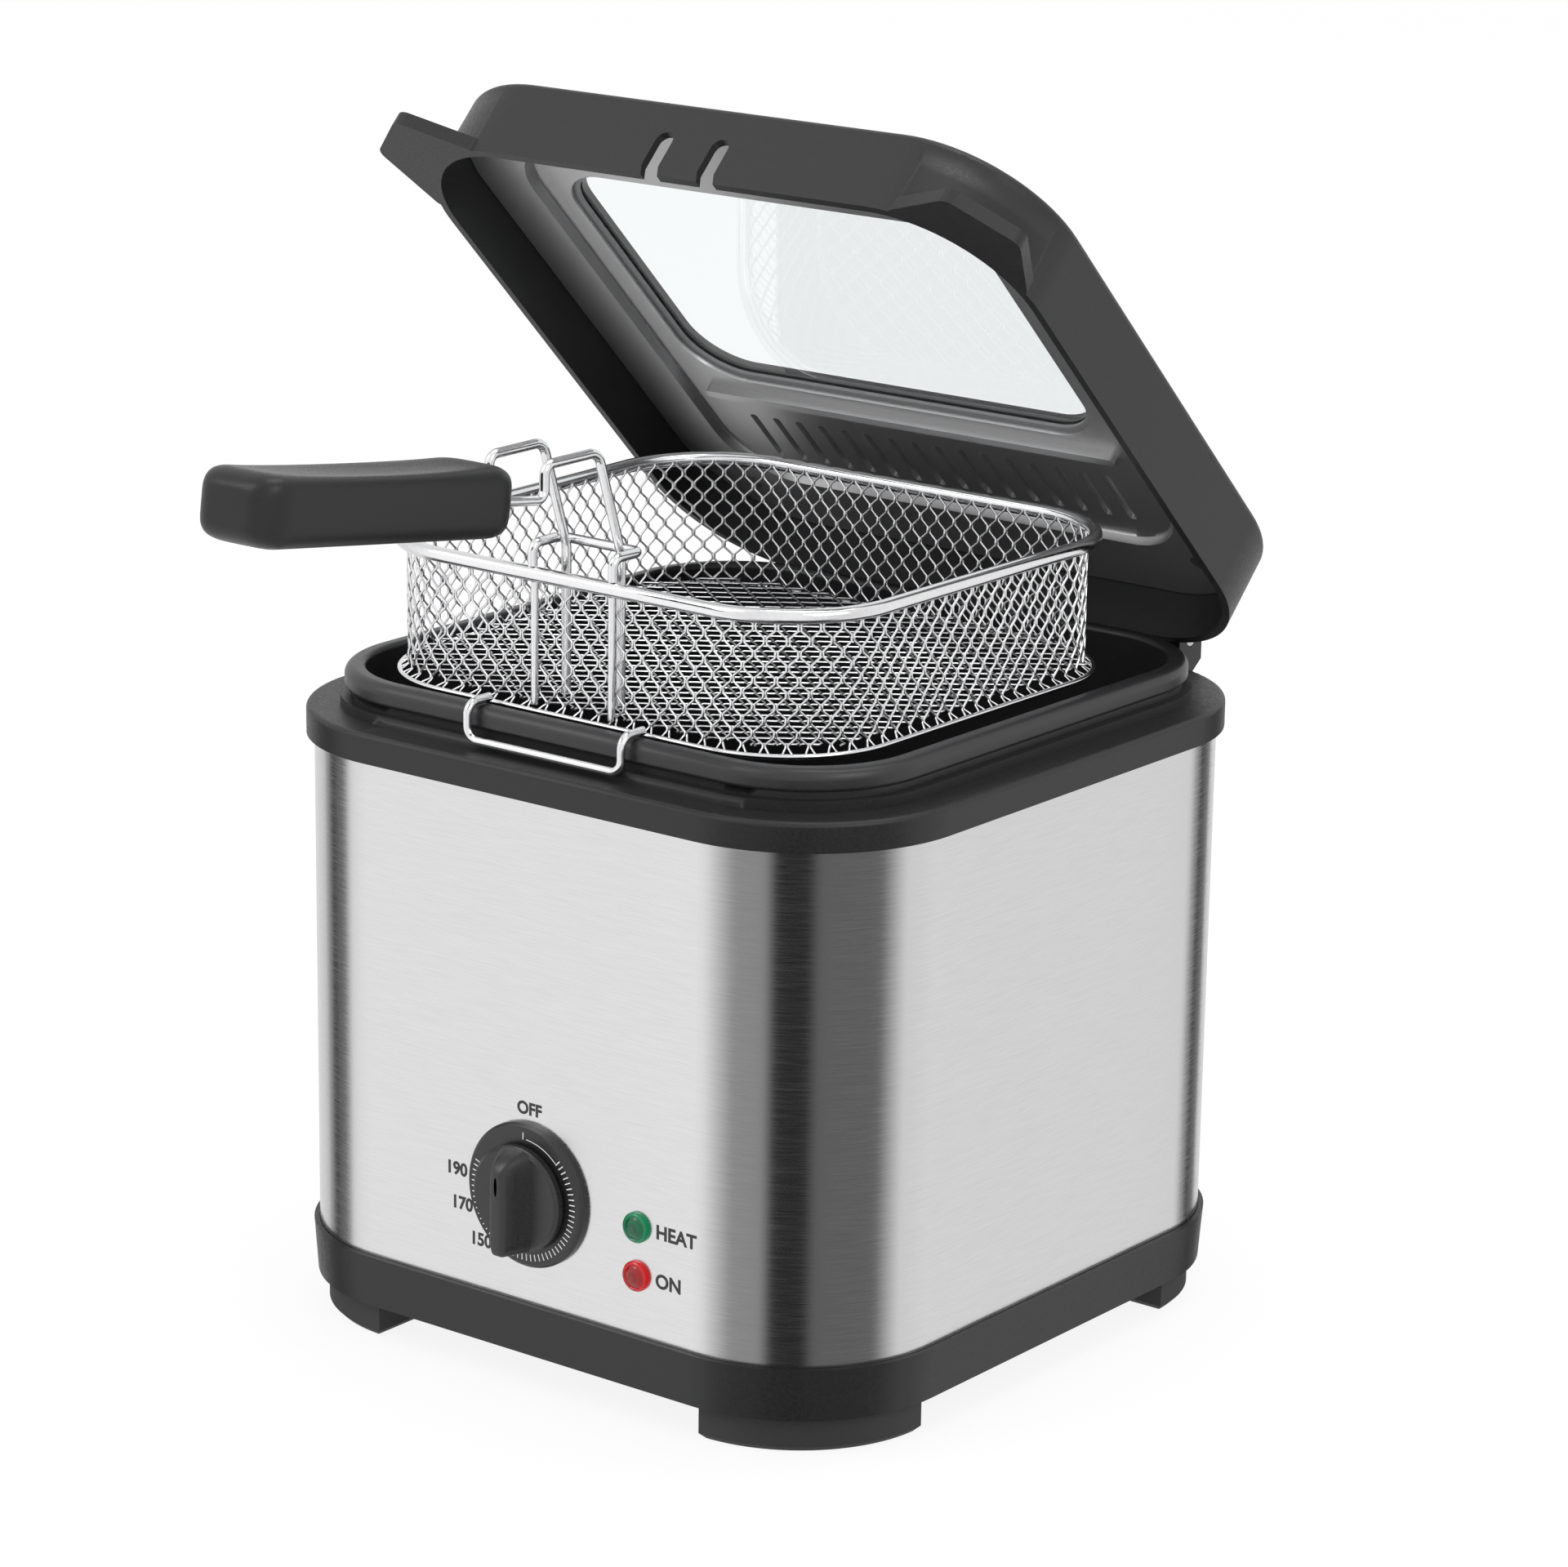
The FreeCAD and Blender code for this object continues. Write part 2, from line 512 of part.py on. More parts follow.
# Heater under the pot
plate = new_body("heater_plate")
item = sketch(plate, out=POT_LOW)
rounded(item, "plate_width", "plate_width", "pot_radius")
pad(plate, item, "plate_thick", back=True)
node(plate)
element_up = val(f"{POT_LOW} - plate_thick - element_radius")
half = val("element_half")
tail = element_up - val("element_tail")
feature("heating_element", bent(
    [(half, half, tail), (half, half, element_up), (half, -half, element_up), (-half, -half, element_up),
     (-half, half, element_up), (-half, half, tail)],
    [val("2 * element_radius"), val("element_bend"), val("element_bend"), val("2 * element_radius")],
    val("element_radius")))
bulb = new_body("sensor_bulb")
item = sketch(bulb, "YZ_Plane", out="-bulb_length / 2")
circles(item, [("-bulb_forward", f"{POT_LOW} - plate_thick - bulb_radius")], "bulb_radius")
pad(bulb, item, "bulb_length")
node(bulb)
shield = new_body("heat_shield")
item = sketch(shield, out=f"{FLOOR_TOP} + post_height")
rounded(item, "shield_width", "shield_width", "post_radius")
pad(shield, item, "shield_thick")
node(shield)

# Mains inlet gland and terminal block
turned_part("cord_gland", [
    ("0", f"{FRONT} + gland_out"), ("0", f"{FRONT} - gland_in"), ("gland_neck", f"{FRONT} - gland_in"),
    ("gland_neck", FRONT), ("gland_radius", FRONT), ("gland_neck", f"{FRONT} + gland_out"),
], up="gland_height", side="gland_side")
block = new_body("terminal_block")
item = sketch(block, out=FLOOR_TOP)
polygon(item, box_points("gland_side - block_width / 2", "gland_side + block_width / 2",
                         "block_back - block_deep / 2", "block_back + block_deep / 2"))
pad(block, item, "block_height")
node(block)

# Lid, drawn shut about its hinge axis and swung open
LID = {"back": "body_back + hinge_back", "up": HINGE_UP, "turn": "-lid_open", "about": V(1, 0, 0)}


def lid_sketch(body, height, back="0"):
    return sketch(body, along=f"{back} - hinge_back", out=height)


cover = new_body("lid_cover")
item = lid_sketch(cover, LID_LOW)
rounded(item, "lid_width", "lid_width", "lid_radius")
pad(cover, item, "lid_height")
soften(cover, "lid_round", level(f"{LID_LOW} + lid_height"))
edge = "lid_width / 2"
for sign in ("", "-"):
    item = lid_sketch(cover, LID_LOW)
    tab = [(f"{edge} - tab_root - tab_bite", f"tab_bite - {edge}"), (f"{edge} - tab_root", f"-{edge}"),
           (f"{edge} - tab_in", f"-{edge} - tab_out"), (f"{edge} + tab_out", f"tab_in - {edge}"),
           (edge, f"tab_root - {edge}"), (f"{edge} - tab_bite", f"tab_root + tab_bite - {edge}")]
    polygon(item, [(f"{sign}({x})", y) for x, y in tab])
    pad(cover, item, "tab_thick")
lid_side = val(edge)
lid_front = -val("hinge_back") - lid_side
tab_clear = val("tab_out") / 2
soften(cover, "tab_round", lambda box: max(box.XLength, box.YLength) < 1e-4 and (
    abs(box.XMin) > lid_side + tab_clear or box.YMin < lid_front - tab_clear))
item = lid_sketch(cover, LID_LOW)
hollow = "lid_width - 2 * lid_wall"
rounded(item, hollow, hollow, "lid_radius - lid_wall")
pocket(cover, item, "lid_height - lid_top", back=True)
for sign in ("", "-"):
    for shape in ("web", "barrel"):
        item = sketch(cover, "YZ_Plane", out=f"{sign}hinge_place - knuckle_width / 2")
        if shape == "web":
            polygon(item, box_points(f"{edge} - lid_wall / 2 - hinge_back", "0", "-knuckle_radius", "knuckle_radius"))
        else:
            circles(item, [("0", "0")], "knuckle_radius")
        pad(cover, item, "knuckle_width")
item = sketch(cover, "YZ_Plane", out=ear_span)
circles(item, [("0", "0")], "pin_radius + pin_gap")
pocket(cover, item, f"2 * {ear_span}")
item = lid_sketch(cover, f"{LID_CEILING}")
circles(item, spread("screw_side", "screw_along"), "boss_radius")
pad(cover, item, "glass_thick + gasket_thick", back=True)
item = lid_sketch(cover, PLATE_TOP)
circles(item, spread("screw_side", "screw_along"), "screw_radius")
pocket(cover, item, "glass_thick + gasket_thick", back=True)
item = lid_sketch(cover, LID_CEILING, "-window_forward")
rounded(item, "window_width", "window_depth", "window_radius")
pocket(cover, item, "lid_top", back=True)
for shape in ("slit", "arch"):
    item = sketch(cover, "XZ_Plane", along=LID_LOW, out=f"hinge_back + {edge} + cut_past")
    top = "notch_height - notch_width / 2"
    for sign in ("", "-"):
        centre = f"{sign}wire_side"
        if shape == "slit":
            left, right = f"{centre} - notch_width / 2", f"{centre} + notch_width / 2"
            polygon(item, [(left, top), (left, "notch_flare"), (f"{left} + notch_slant", "-cut_past"),
                           (f"{right} + notch_slant", "-cut_past"), (right, "notch_flare"), (right, top)])
        else:
            circles(item, [(centre, top)], "notch_width / 2")
    pocket(cover, item, "lid_wall + 2 * cut_past")


def vents(body, height, depth):
    """Row of steam slots."""
    item = sketch(body, across="-(vent_count - 1) / 2 * vent_pitch", along="vent_back - hinge_back", out=height)
    rounded(item, "vent_width", "vent_length", "vent_round")
    slot = pocket(body, item, depth, back=True)
    row = body.newObject("PartDesign::LinearPattern", f"{body.Name}_vents")
    row.Originals = [slot]
    row.Direction = (item, ["H_Axis"])
    row.setExpression("Length", bind("(vent_count - 1) * vent_pitch"))
    row.setExpression("Occurrences", bind("vent_count"))
    body.Tip = row
    DOC.recompute()


vents(cover, LID_CEILING, "lid_top")
node(cover, **LID)

panel = new_body("lid_inner_panel")
item = lid_sketch(panel, PANEL_LOW)
wide = "lid_width - 2 * lid_wall - 2 * panel_gap"
rounded(item, wide, wide, "lid_radius - lid_wall - panel_gap")
pad(panel, item, "panel_thick")
item = lid_sketch(panel, PANEL_LOW, "-recess_forward")
rounded(item, "recess_width", "recess_depth", "recess_radius")
pocket(panel, item, "panel_thick - panel_plate", back=True)
recess_reach = val("lid_width / 2 - lid_wall - panel_gap") - 2
soften(panel, "recess_bevel", lambda box: level(PANEL_LOW)(box) and max(abs(box.XMin), abs(box.XMax)) < recess_reach
       and box.YMin > val("-hinge_back") - recess_reach and box.YMax < val("-hinge_back") + recess_reach, "Chamfer")
item = lid_sketch(panel, f"{PLATE_TOP} - panel_plate", "rib_back")
rounded(item, "rib_length", "rib_width", "rib_round")
pad(panel, item, "panel_thick - panel_plate", back=True)
item = lid_sketch(panel, f"{PLATE_TOP}", "-window_forward")
rounded(item, "window_width + 2 * window_reveal", "window_depth + 2 * window_reveal", "window_radius + window_reveal")
pocket(panel, item, "panel_plate")
vents(panel, PANEL_LOW, "panel_thick")
item = lid_sketch(panel, PANEL_LOW)
circles(item, spread("screw_side", "screw_along"), "screw_head + screw_gap")
pocket(panel, item, "screw_head_height", back=True)
item = lid_sketch(panel, PANEL_LOW)
circles(item, spread("screw_side", "screw_along"), "screw_radius + screw_gap")
pocket(panel, item, "panel_thick", back=True)
node(panel, **LID)

gasket = new_body("window_gasket")
item = lid_sketch(gasket, PLATE_TOP, "-window_forward")
rounded(item, "window_width + 2 * gasket_width", "window_depth + 2 * gasket_width", "window_radius + gasket_width")
rounded(item, "window_width", "window_depth", "window_radius")
pad(gasket, item, "gasket_thick")
node(gasket, **LID)
glass = new_body("lid_window")
item = lid_sketch(glass, f"{PLATE_TOP} + gasket_thick", "-window_forward")
rounded(item, "window_width + 2 * glass_lap", "window_depth + 2 * glass_lap", "window_radius + glass_lap")
pad(glass, item, "glass_thick")
node(glass, **LID)
steam = new_body("steam_filter")
item = lid_sketch(steam, PLATE_TOP, "vent_back")
rounded(item, "(vent_count - 1) * vent_pitch + vent_width + 2 * filter_margin", "vent_length + 2 * filter_margin", "filter_margin")
pad(steam, item, "filter_thick")
node(steam, **LID)
screws = new_body("lid_screws")
item = lid_sketch(screws, PANEL_LOW)
circles(item, spread("screw_side", "screw_along"), "screw_head")
pad(screws, item, "screw_head_height")
item = lid_sketch(screws, PANEL_LOW)
circles(item, spread("screw_side", "screw_along"), "screw_radius")
pad(screws, item, "panel_thick + glass_thick")
node(screws, **LID)

# Basket of round wire and net
LOW = val("basket_low")
TOP = LOW + val("basket_tall")
CY = -val("basket_forward")
WIDE = val("rim_half_wide")
DEEP = val("rim_half_deep")


def ring_wire(radius, outset, height):
    """Closed rounded loop of wire in a level plane."""
    a, b = WIDE + outset, DEEP + outset
    corners = [(a, CY + b, height), (-a, CY + b, height), (-a, CY - b, height), (a, CY - b, height)]
    return bent(corners + corners[:1], [val("rim_bend") + outset] * 4, radius)


rim_up = TOP - val("rim_wire")
feature("basket_rim", ring_wire(val("rim_wire"), 0, rim_up))
ring_out = val("rim_wire - ring_wire")
feature("basket_base_wire", ring_wire(val("ring_wire"), ring_out, LOW + val("ring_wire")))

thick = val("net_thick")
bar = val("net_bar")
floor_low = LOW + val("2 * ring_wire + net_gap")
wall_low = floor_low + thick
wall_tall = rim_up - val("net_drop") - wall_low
corner = val("rim_bend - net_inset") + thick / 2
straight_wide = 2 * (WIDE - val("rim_bend"))
straight_deep = 2 * (DEEP - val("rim_bend"))


def outline(wide, tall, radius=0.0):
    """Flat outline about the origin, with round corners where a radius is given."""
    plain = Part.makePlane(wide, tall, V(-wide / 2, -tall / 2, 0))
    if not radius:
        return plain.OuterWire
    body = plain.extrude(V(0, 0, 1))
    body = body.makeFillet(radius, [edge for edge in body.Edges if edge.BoundBox.ZLength > 0.5])
    face = min(body.Faces, key=lambda item: item.CenterOfMass.z)
    return face.OuterWire


def wall_net(name, length, side, back, turn):
    """Upright net of one straight wall, standing on the floor net."""
    spots, a, b = diamonds(length, wall_tall, val("net_pitch_wide"), val("net_pitch_tall"), bar)
    sheet = flat_net(outline(length, wall_tall), spots, a, b, thick)
    sheet.translate(V(0, 0, -thick / 2))
    sheet.rotate(V(0, 0, 0), V(1, 0, 0), 90)
    sheet.rotate(V(0, 0, 0), V(0, 0, 1), turn)
    sheet.translate(V(side, CY + back, wall_low + wall_tall / 2))
    feature(name, sheet)


wall_side = WIDE - val("net_inset")
wall_back = DEEP - val("net_inset")
wall_net("basket_net_front", straight_wide, 0, -wall_back, 0)
wall_net("basket_net_rear", straight_wide, 0, wall_back, 180)
wall_net("basket_net_left", straight_deep, -wall_side, 0, 270)
wall_net("basket_net_right", straight_deep, wall_side, 0, 90)

floor_wide = 2 * (wall_side + thick / 2)
floor_deep = 2 * (wall_back + thick / 2)


def in_corners(x, y):
    """True where a gap of the floor net clears the round corners."""
    far = math.hypot(max(abs(x) - straight_wide / 2, 0), max(abs(y) - straight_deep / 2, 0))
    return far < corner - val("floor_pitch") / 2


spots, a, b = diamonds(floor_wide, floor_deep, val("floor_pitch"), val("floor_pitch"), bar, in_corners)
sheet = flat_net(outline(floor_wide, floor_deep, corner), spots, a, b, thick)
sheet.translate(V(0, CY, floor_low))
feature("basket_net_floor", sheet)

bow = Part.makeCylinder(corner, wall_tall, V(0, 0, 0), V(0, 0, 1), 90)
bow = bow.cut(Part.makeCylinder(corner - thick, wall_tall))
arc_length = math.pi / 2 * corner
spots, a, b = diamonds(arc_length, wall_tall, val("net_pitch_wide"), val("net_pitch_tall"), bar)
gaps = []
for x, z in spots:
    up = z + wall_tall / 2
    ring = [V(0, -a, up), V(0, 0, up - b), V(0, a, up), V(0, 0, up + b), V(0, -a, up)]
    gap = Part.Face(Part.makePolygon(ring)).extrude(V(2 * corner, 0, 0))
    gap.rotate(V(0, 0, 0), V(0, 0, 1), 45 + math.degrees(x / corner))
    gaps.append(gap)
bow = bow.cut(gaps)
bows = []
for side, back, turn in ((1, 1, 0), (-1, 1, 90), (-1, -1, 180), (1, -1, 270)):
    copy = bow.copy()
    copy.rotate(V(0, 0, 0), V(0, 0, 1), turn)
    copy.translate(V(side * straight_wide / 2, CY + back * straight_deep / 2, wall_low))
    bows.append(copy)
feature("basket_net_corners", Part.makeCompound(bows))

# Upright straps in front, and the handle with its wires
strap_r = val("strap_wire")
strap_back = CY - wall_back - thick / 2 - strap_r - val("net_gap")
straps = []
for sign in (-1, 1):
    foot_at = V(sign * val("strap_half"), strap_back, LOW + val("2 * ring_wire + net_gap"))
    straps.append(Part.makeCylinder(strap_r, rim_up - val("rim_wire + net_gap") - foot_at.z, foot_at))
feature("basket_straps", Part.makeCompound(straps))

wire_r = val("wire_radius")
leg_back = CY - DEEP + val("leg_inset")
hump_up = LOW + val("hump_rise")
tilt = math.radians(val("grip_tilt"))
dip_up = hump_up - val("dip")
bite = V(0, -val("grip_start - hump_front") - val("grip_bite") * math.cos(tilt), 0)
bite_up = dip_up - bite.y * math.tan(tilt)
wires = []
for sign in (-1, 1):
    side = sign * val("wire_side")
    wires.append(bent(
        [(side, leg_back, LOW + val("leg_low")), (side, leg_back, LOW + val("leg_tall")),
         (side, -val("hump_back"), hump_up), (side, -val("hump_front"), hump_up),
         (side, -val("hump_front"), dip_up), (side, -val("hump_front") + bite.y, bite_up)],
        [val("leg_bend"), val("hump_bend"), val("dip_bend"), val("dip_bend")], wire_r))
feature("handle_wires", Part.makeCompound(wires))

hold_r = val("wire_radius")
hold_up = TOP + val("retainer_rise")
hold_front = CY - DEEP
hold_back = leg_back + wire_r + hold_r + val("net_gap")
hold = val("retainer_half")
low_end = TOP + val("net_gap")
feature("handle_retainer", bent(
    [(-hold, hold_front, low_end), (-hold, hold_front, hold_up), (-hold, hold_back, hold_up),
     (hold, hold_back, hold_up), (hold, hold_front, hold_up), (hold, hold_front, low_end)],
    [2 * hold_r] * 4, hold_r))

grip = new_body("handle_grip")
item = sketch(grip, "YZ_Plane", across="-grip_length / 2", out="-grip_width / 2")
rounded(item, "grip_length", "grip_height", "grip_round")
pad(grip, item, "grip_width")
grip_half = val("grip_width / 2")
soften(grip, "grip_side_round", lambda box: box.XLength < 1e-4 and abs(abs(box.XMin) - grip_half) < 1e-4)
item = sketch(grip, "XZ_Plane", out="0")
circles(item, [("wire_side", "0"), ("-wire_side", "0")], "wire_radius + fit_gap")
pocket(grip, item, "grip_bite + cut_past", back=True)
rise = "basket_low + hump_rise - dip + (grip_start - hump_front) * tan(grip_tilt)"
node(grip, "body_back - grip_start", f"{rise}", "0", "-grip_tilt", V(1, 0, 0))

# Drain hook over the front of the pot's rim
hook_r = val("hook_wire")
over = val(RIM_TOP) + val("hook_gap") + hook_r
bar_out = -val("shell_width / 2 - seat_reach + hook_bar_gap + hook_wire")
bar_up = val(COLLAR_TOP) + val("hook_bar_up")
end = val("hook_tail - pot_inside / 2")
hook = val("hook_half")
feature("drain_hook", bent(
    [(-hook, end, over), (-hook, bar_out, over), (-hook, bar_out, bar_up), (hook, bar_out, bar_up),
     (hook, bar_out, over), (hook, end, over)], [val("hook_bend")] * 4, hook_r))

DOC.recompute()
for item in DOC.Objects:
    if {"Invalid", "Error"} & set(item.State):
        raise ValueError(f"{item.Label} failed: {item.State}")
for item in NODES:
    if item.Shape.isNull() or not item.Shape.isValid():
        raise ValueError(f"{item.Label} has no valid shape")
os.makedirs("parts", exist_ok=True)
for item in NODES:
    item.Shape.exportStep(f"parts/{item.Label}.step")
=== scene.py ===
"""Looks of a square deep fryer: finishes, wire basket, handle, dial and studio."""
import logging
import math
from dataclasses import dataclass, field
from enum import Enum
from typing import Iterable, Sequence

import bmesh
import bpy
from bpy.types import ID, Material, Mesh, Node, NodeSocket, NodeTree, Object
from mathutils import Matrix, Vector


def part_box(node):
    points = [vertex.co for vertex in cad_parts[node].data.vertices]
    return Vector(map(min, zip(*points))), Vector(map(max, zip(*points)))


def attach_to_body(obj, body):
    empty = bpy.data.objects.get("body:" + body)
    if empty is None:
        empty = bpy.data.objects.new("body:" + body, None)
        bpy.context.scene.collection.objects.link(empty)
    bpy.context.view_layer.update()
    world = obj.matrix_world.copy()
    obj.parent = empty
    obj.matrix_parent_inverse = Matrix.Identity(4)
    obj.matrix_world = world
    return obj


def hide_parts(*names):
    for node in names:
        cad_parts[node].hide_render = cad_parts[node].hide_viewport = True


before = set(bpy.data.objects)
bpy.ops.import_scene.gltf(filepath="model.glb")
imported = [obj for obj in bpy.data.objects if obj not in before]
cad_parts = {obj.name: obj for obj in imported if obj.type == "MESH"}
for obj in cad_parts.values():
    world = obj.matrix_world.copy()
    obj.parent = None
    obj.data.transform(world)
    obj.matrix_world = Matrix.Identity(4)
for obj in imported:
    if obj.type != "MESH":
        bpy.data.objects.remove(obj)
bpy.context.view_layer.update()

LOG = logging.getLogger("deep_fryer")
MM = 0.001
FLAT_ANGLE = math.radians(0.4)
MERGE_GAP = 1e-6
NOISE_LOW = 0.3
NOISE_HIGH = 0.7
GRAIN_DEPTH = 0.2 * MM
Point = tuple[float, float, float]
Colour = tuple[float, float, float]
Routes = Iterable[tuple[Sequence[Point], bool]]


class Body(Enum):
    """Moving bodies of the fryer."""

    ROOT = "root"
    LID = "lid"
    BASKET = "basket"
    KNOB = "knob"


def node_box(name: str) -> tuple[Vector, Vector]:
    """Lowest and highest corner of a node.

    Args:
        name: Name of the node.
    Returns:
        The two corners, in metres.
    """
    low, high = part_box(name)
    return Vector(low), Vector(high)


SHELL_LOW, SHELL_HIGH = node_box("outer_shell")
CENTRE_BACK = (SHELL_LOW.y + SHELL_HIGH.y) / 2


def put(node: Node, values: dict[str, object]) -> None:
    """Set the values of a node's inputs, by name."""
    for name, value in values.items():
        node.inputs[name].default_value = value


class NodeBuilder:
    """Small helper that adds and joins the nodes of one tree."""

    def __init__(self, tree: NodeTree) -> None:
        """Keep the tree."""
        self.tree = tree

    def add(self, kind: str, **settings: object) -> Node:
        """Add a node and set its properties.

        Args:
            kind: Type name of the node.
            settings: Properties to set on it.
        Returns:
            The new node.
        """
        item = self.tree.nodes.new(kind)
        for name, value in settings.items():
            setattr(item, name, value)
        return item

    def join(self, source: NodeSocket, target: NodeSocket) -> None:
        """Join two sockets."""
        self.tree.links.new(source, target)

    def link(self, source: Node, output: str, target: Node, entry: str) -> None:
        """Join a named output of one node to a named input of another."""
        self.join(source.outputs[output], target.inputs[entry])

    def math(self, operation: str, first: object, second: object = 0.0) -> NodeSocket:
        """Add a math node.

        Args:
            operation: Name of the operation.
            first: Socket or number.
            second: Socket or number.
        Returns:
            The result socket.
        """
        item = self.add("ShaderNodeMath", operation=operation)
        for socket, value in zip(item.inputs, (first, second)):
            if isinstance(value, NodeSocket):
                self.join(value, socket)
            else:
                socket.default_value = value
        return item.outputs[0]


def open_tree(name: str, kind: str, inputs: dict[str, str],
              outputs: dict[str, str]) -> tuple[NodeBuilder, Node, Node]:
    """Start a node tree with its sockets.

    Args:
        name: Name of the tree.
        kind: Type name of the tree.
        inputs: What each input socket holds, by its name.
        outputs: What each output socket holds, by its name.
    Returns:
        The builder of the tree, its input node and its output node.
    """
    tree = bpy.data.node_groups.new(name, kind)
    for side, sockets in (("INPUT", inputs), ("OUTPUT", outputs)):
        for label, content in sockets.items():
            tree.interface.new_socket(label, in_out=side, socket_type=f"NodeSocket{content}")
    build = NodeBuilder(tree)
    return build, build.add("NodeGroupInput"), build.add("NodeGroupOutput")


def open_material(name: str) -> tuple[Material, NodeBuilder, Node]:
    """Start a material that uses nodes.

    Args:
        name: Name of the material.
    Returns:
        The material, the builder of its tree and its main shader.
    """
    made = bpy.data.materials.new(name)
    made.use_nodes = True
    return made, NodeBuilder(made.node_tree), made.node_tree.nodes["Principled BSDF"]


def dress(mesh: Mesh, material: Material) -> None:
    """Give a mesh one material."""
    mesh.materials.clear()
    mesh.materials.append(material)


def surface_group(name: str, stretch: Point, detail: float) -> NodeTree:
    """Node group with a fine mask and height that vary over a surface.

    Args:
        name: Name of the group.
        stretch: Scale of the pattern along each axis.
        detail: Octaves of the noise.
    Returns:
        The group, with inputs Scale, Low and High and outputs Mask and Height.
    """
    build, given, result = open_tree(
        name, "ShaderNodeTree", {"Scale": "Float", "Low": "Float", "High": "Float"},
        {"Mask": "Float", "Height": "Float"})
    where = build.add("ShaderNodeTexCoord")
    mapping = build.add("ShaderNodeMapping")
    put(mapping, {"Scale": stretch})
    noise = build.add("ShaderNodeTexNoise")
    put(noise, {"Detail": detail})
    span = build.add("ShaderNodeMapRange")
    build.link(where, "Object", mapping, "Vector")
    build.link(mapping, "Vector", noise, "Vector")
    build.link(given, "Scale", noise, "Scale")
    build.link(noise, "Fac", span, "Value")
    put(span, {"From Min": NOISE_LOW, "From Max": NOISE_HIGH})
    build.link(given, "Low", span, "To Min")
    build.link(given, "High", span, "To Max")
    build.link(span, "Result", result, "Mask")
    build.link(noise, "Fac", result, "Height")
    return build.tree


@dataclass(frozen=True)
class Finish:
    """A surface finish with fine variation in colour, gloss and relief."""

    name: str
    colour: Colour
    tint: Colour
    rough: tuple[float, float]
    grain: float
    relief: float
    metal: float = 0.0
    specular: float = 0.5
    brushed: bool = False

    def material(self) -> Material:
        """Build the material, once.

        Returns:
            The material.
        """
        made = bpy.data.materials.get(self.name)
        if made:
            return made
        made, build, shader = open_material(self.name)
        group_name = "brushed_lines" if self.brushed else "moulded_grain"
        group = bpy.data.node_groups.get(group_name)
        if not group:
            stretch = (0.02, 0.02, 1.0) if self.brushed else (1.0, 1.0, 1.0)
            group = surface_group(group_name, stretch, 6.0 if self.brushed else 3.0)
        grain = build.add("ShaderNodeGroup", node_tree=group)
        put(grain, {"Scale": self.grain, "Low": self.rough[0], "High": self.rough[1]})
        build.link(grain, "Mask", shader, "Roughness")
        mix = build.add("ShaderNodeMix", data_type="RGBA")
        put(mix, {"A": (*self.colour, 1.0), "B": (*self.tint, 1.0)})
        build.link(grain, "Height", mix, "Factor")
        build.link(mix, "Result", shader, "Base Color")
        bump = build.add("ShaderNodeBump")
        put(bump, {"Strength": self.relief, "Distance": GRAIN_DEPTH})
        build.link(grain, "Height", bump, "Height")
        build.link(bump, "Normal", shader, "Normal")
        put(shader, {"Metallic": self.metal, "Specular IOR Level": self.specular})
        return made


@dataclass(frozen=True)
class ClearGlass:
    """Clear flat glass that lets light through."""

    name: str
    tint: Colour
    bending: float = 1.3
    smear_scale: float = 60.0
    smear_rough: float = 0.03

    def material(self) -> Material:
        """Build the material.

        Returns:
            The material.
        """
        made, build, shader = open_material(self.name)
        put(shader, {"Base Color": (*self.tint, 1.0), "IOR": self.bending, "Transmission Weight": 1.0})
        smear = build.add("ShaderNodeTexNoise")
        put(smear, {"Scale": self.smear_scale})
        where = build.add("ShaderNodeTexCoord")
        build.link(where, "Object", smear, "Vector")
        build.join(build.math("MULTIPLY", smear.outputs["Fac"], self.smear_rough), shader.inputs["Roughness"])
        return made


@dataclass(frozen=True)
class LampLens:
    """Coloured lens with moulded rings and a faint glow."""

    name: str
    colour: Colour
    glow: float
    middle_shade: float = 0.35
    ring_rate: float = 4200.0
    ring_share: float = 0.12
    rim_rate: float = 250.0
    rough: float = 0.12

    def material(self, centre: Vector) -> Material:
        """Build the material about the lens's axis.

        Args:
            centre: Middle of the lens.
        Returns:
            The material.
        """
        made, build, shader = open_material(self.name)
        where = build.add("ShaderNodeTexCoord")
        mapping = build.add("ShaderNodeMapping")
        put(mapping, {"Location": (-centre.x, 0.0, -centre.z), "Scale": (1.0, 0.0, 1.0)})
        build.link(where, "Object", mapping, "Vector")
        far = build.add("ShaderNodeVectorMath", operation="LENGTH")
        build.join(mapping.outputs["Vector"], far.inputs[0])
        wave = build.math("SINE", build.math("MULTIPLY", far.outputs["Value"], self.ring_rate))
        ramp = build.add("ShaderNodeMix", data_type="RGBA")
        put(ramp, {"A": (*[channel * self.middle_shade for channel in self.colour], 1.0),
                   "B": (*self.colour, 1.0)})
        rim = build.math("POWER", build.math("MULTIPLY", far.outputs["Value"], self.rim_rate), 3.0)
        rings = build.math("MULTIPLY", wave, self.ring_share)
        build.join(build.math("ADD", rim, rings), ramp.inputs["Factor"])
        build.link(ramp, "Result", shader, "Base Color")
        build.link(ramp, "Result", shader, "Emission Color")
        put(shader, {"Emission Strength": self.glow, "Roughness": self.rough})
        return made


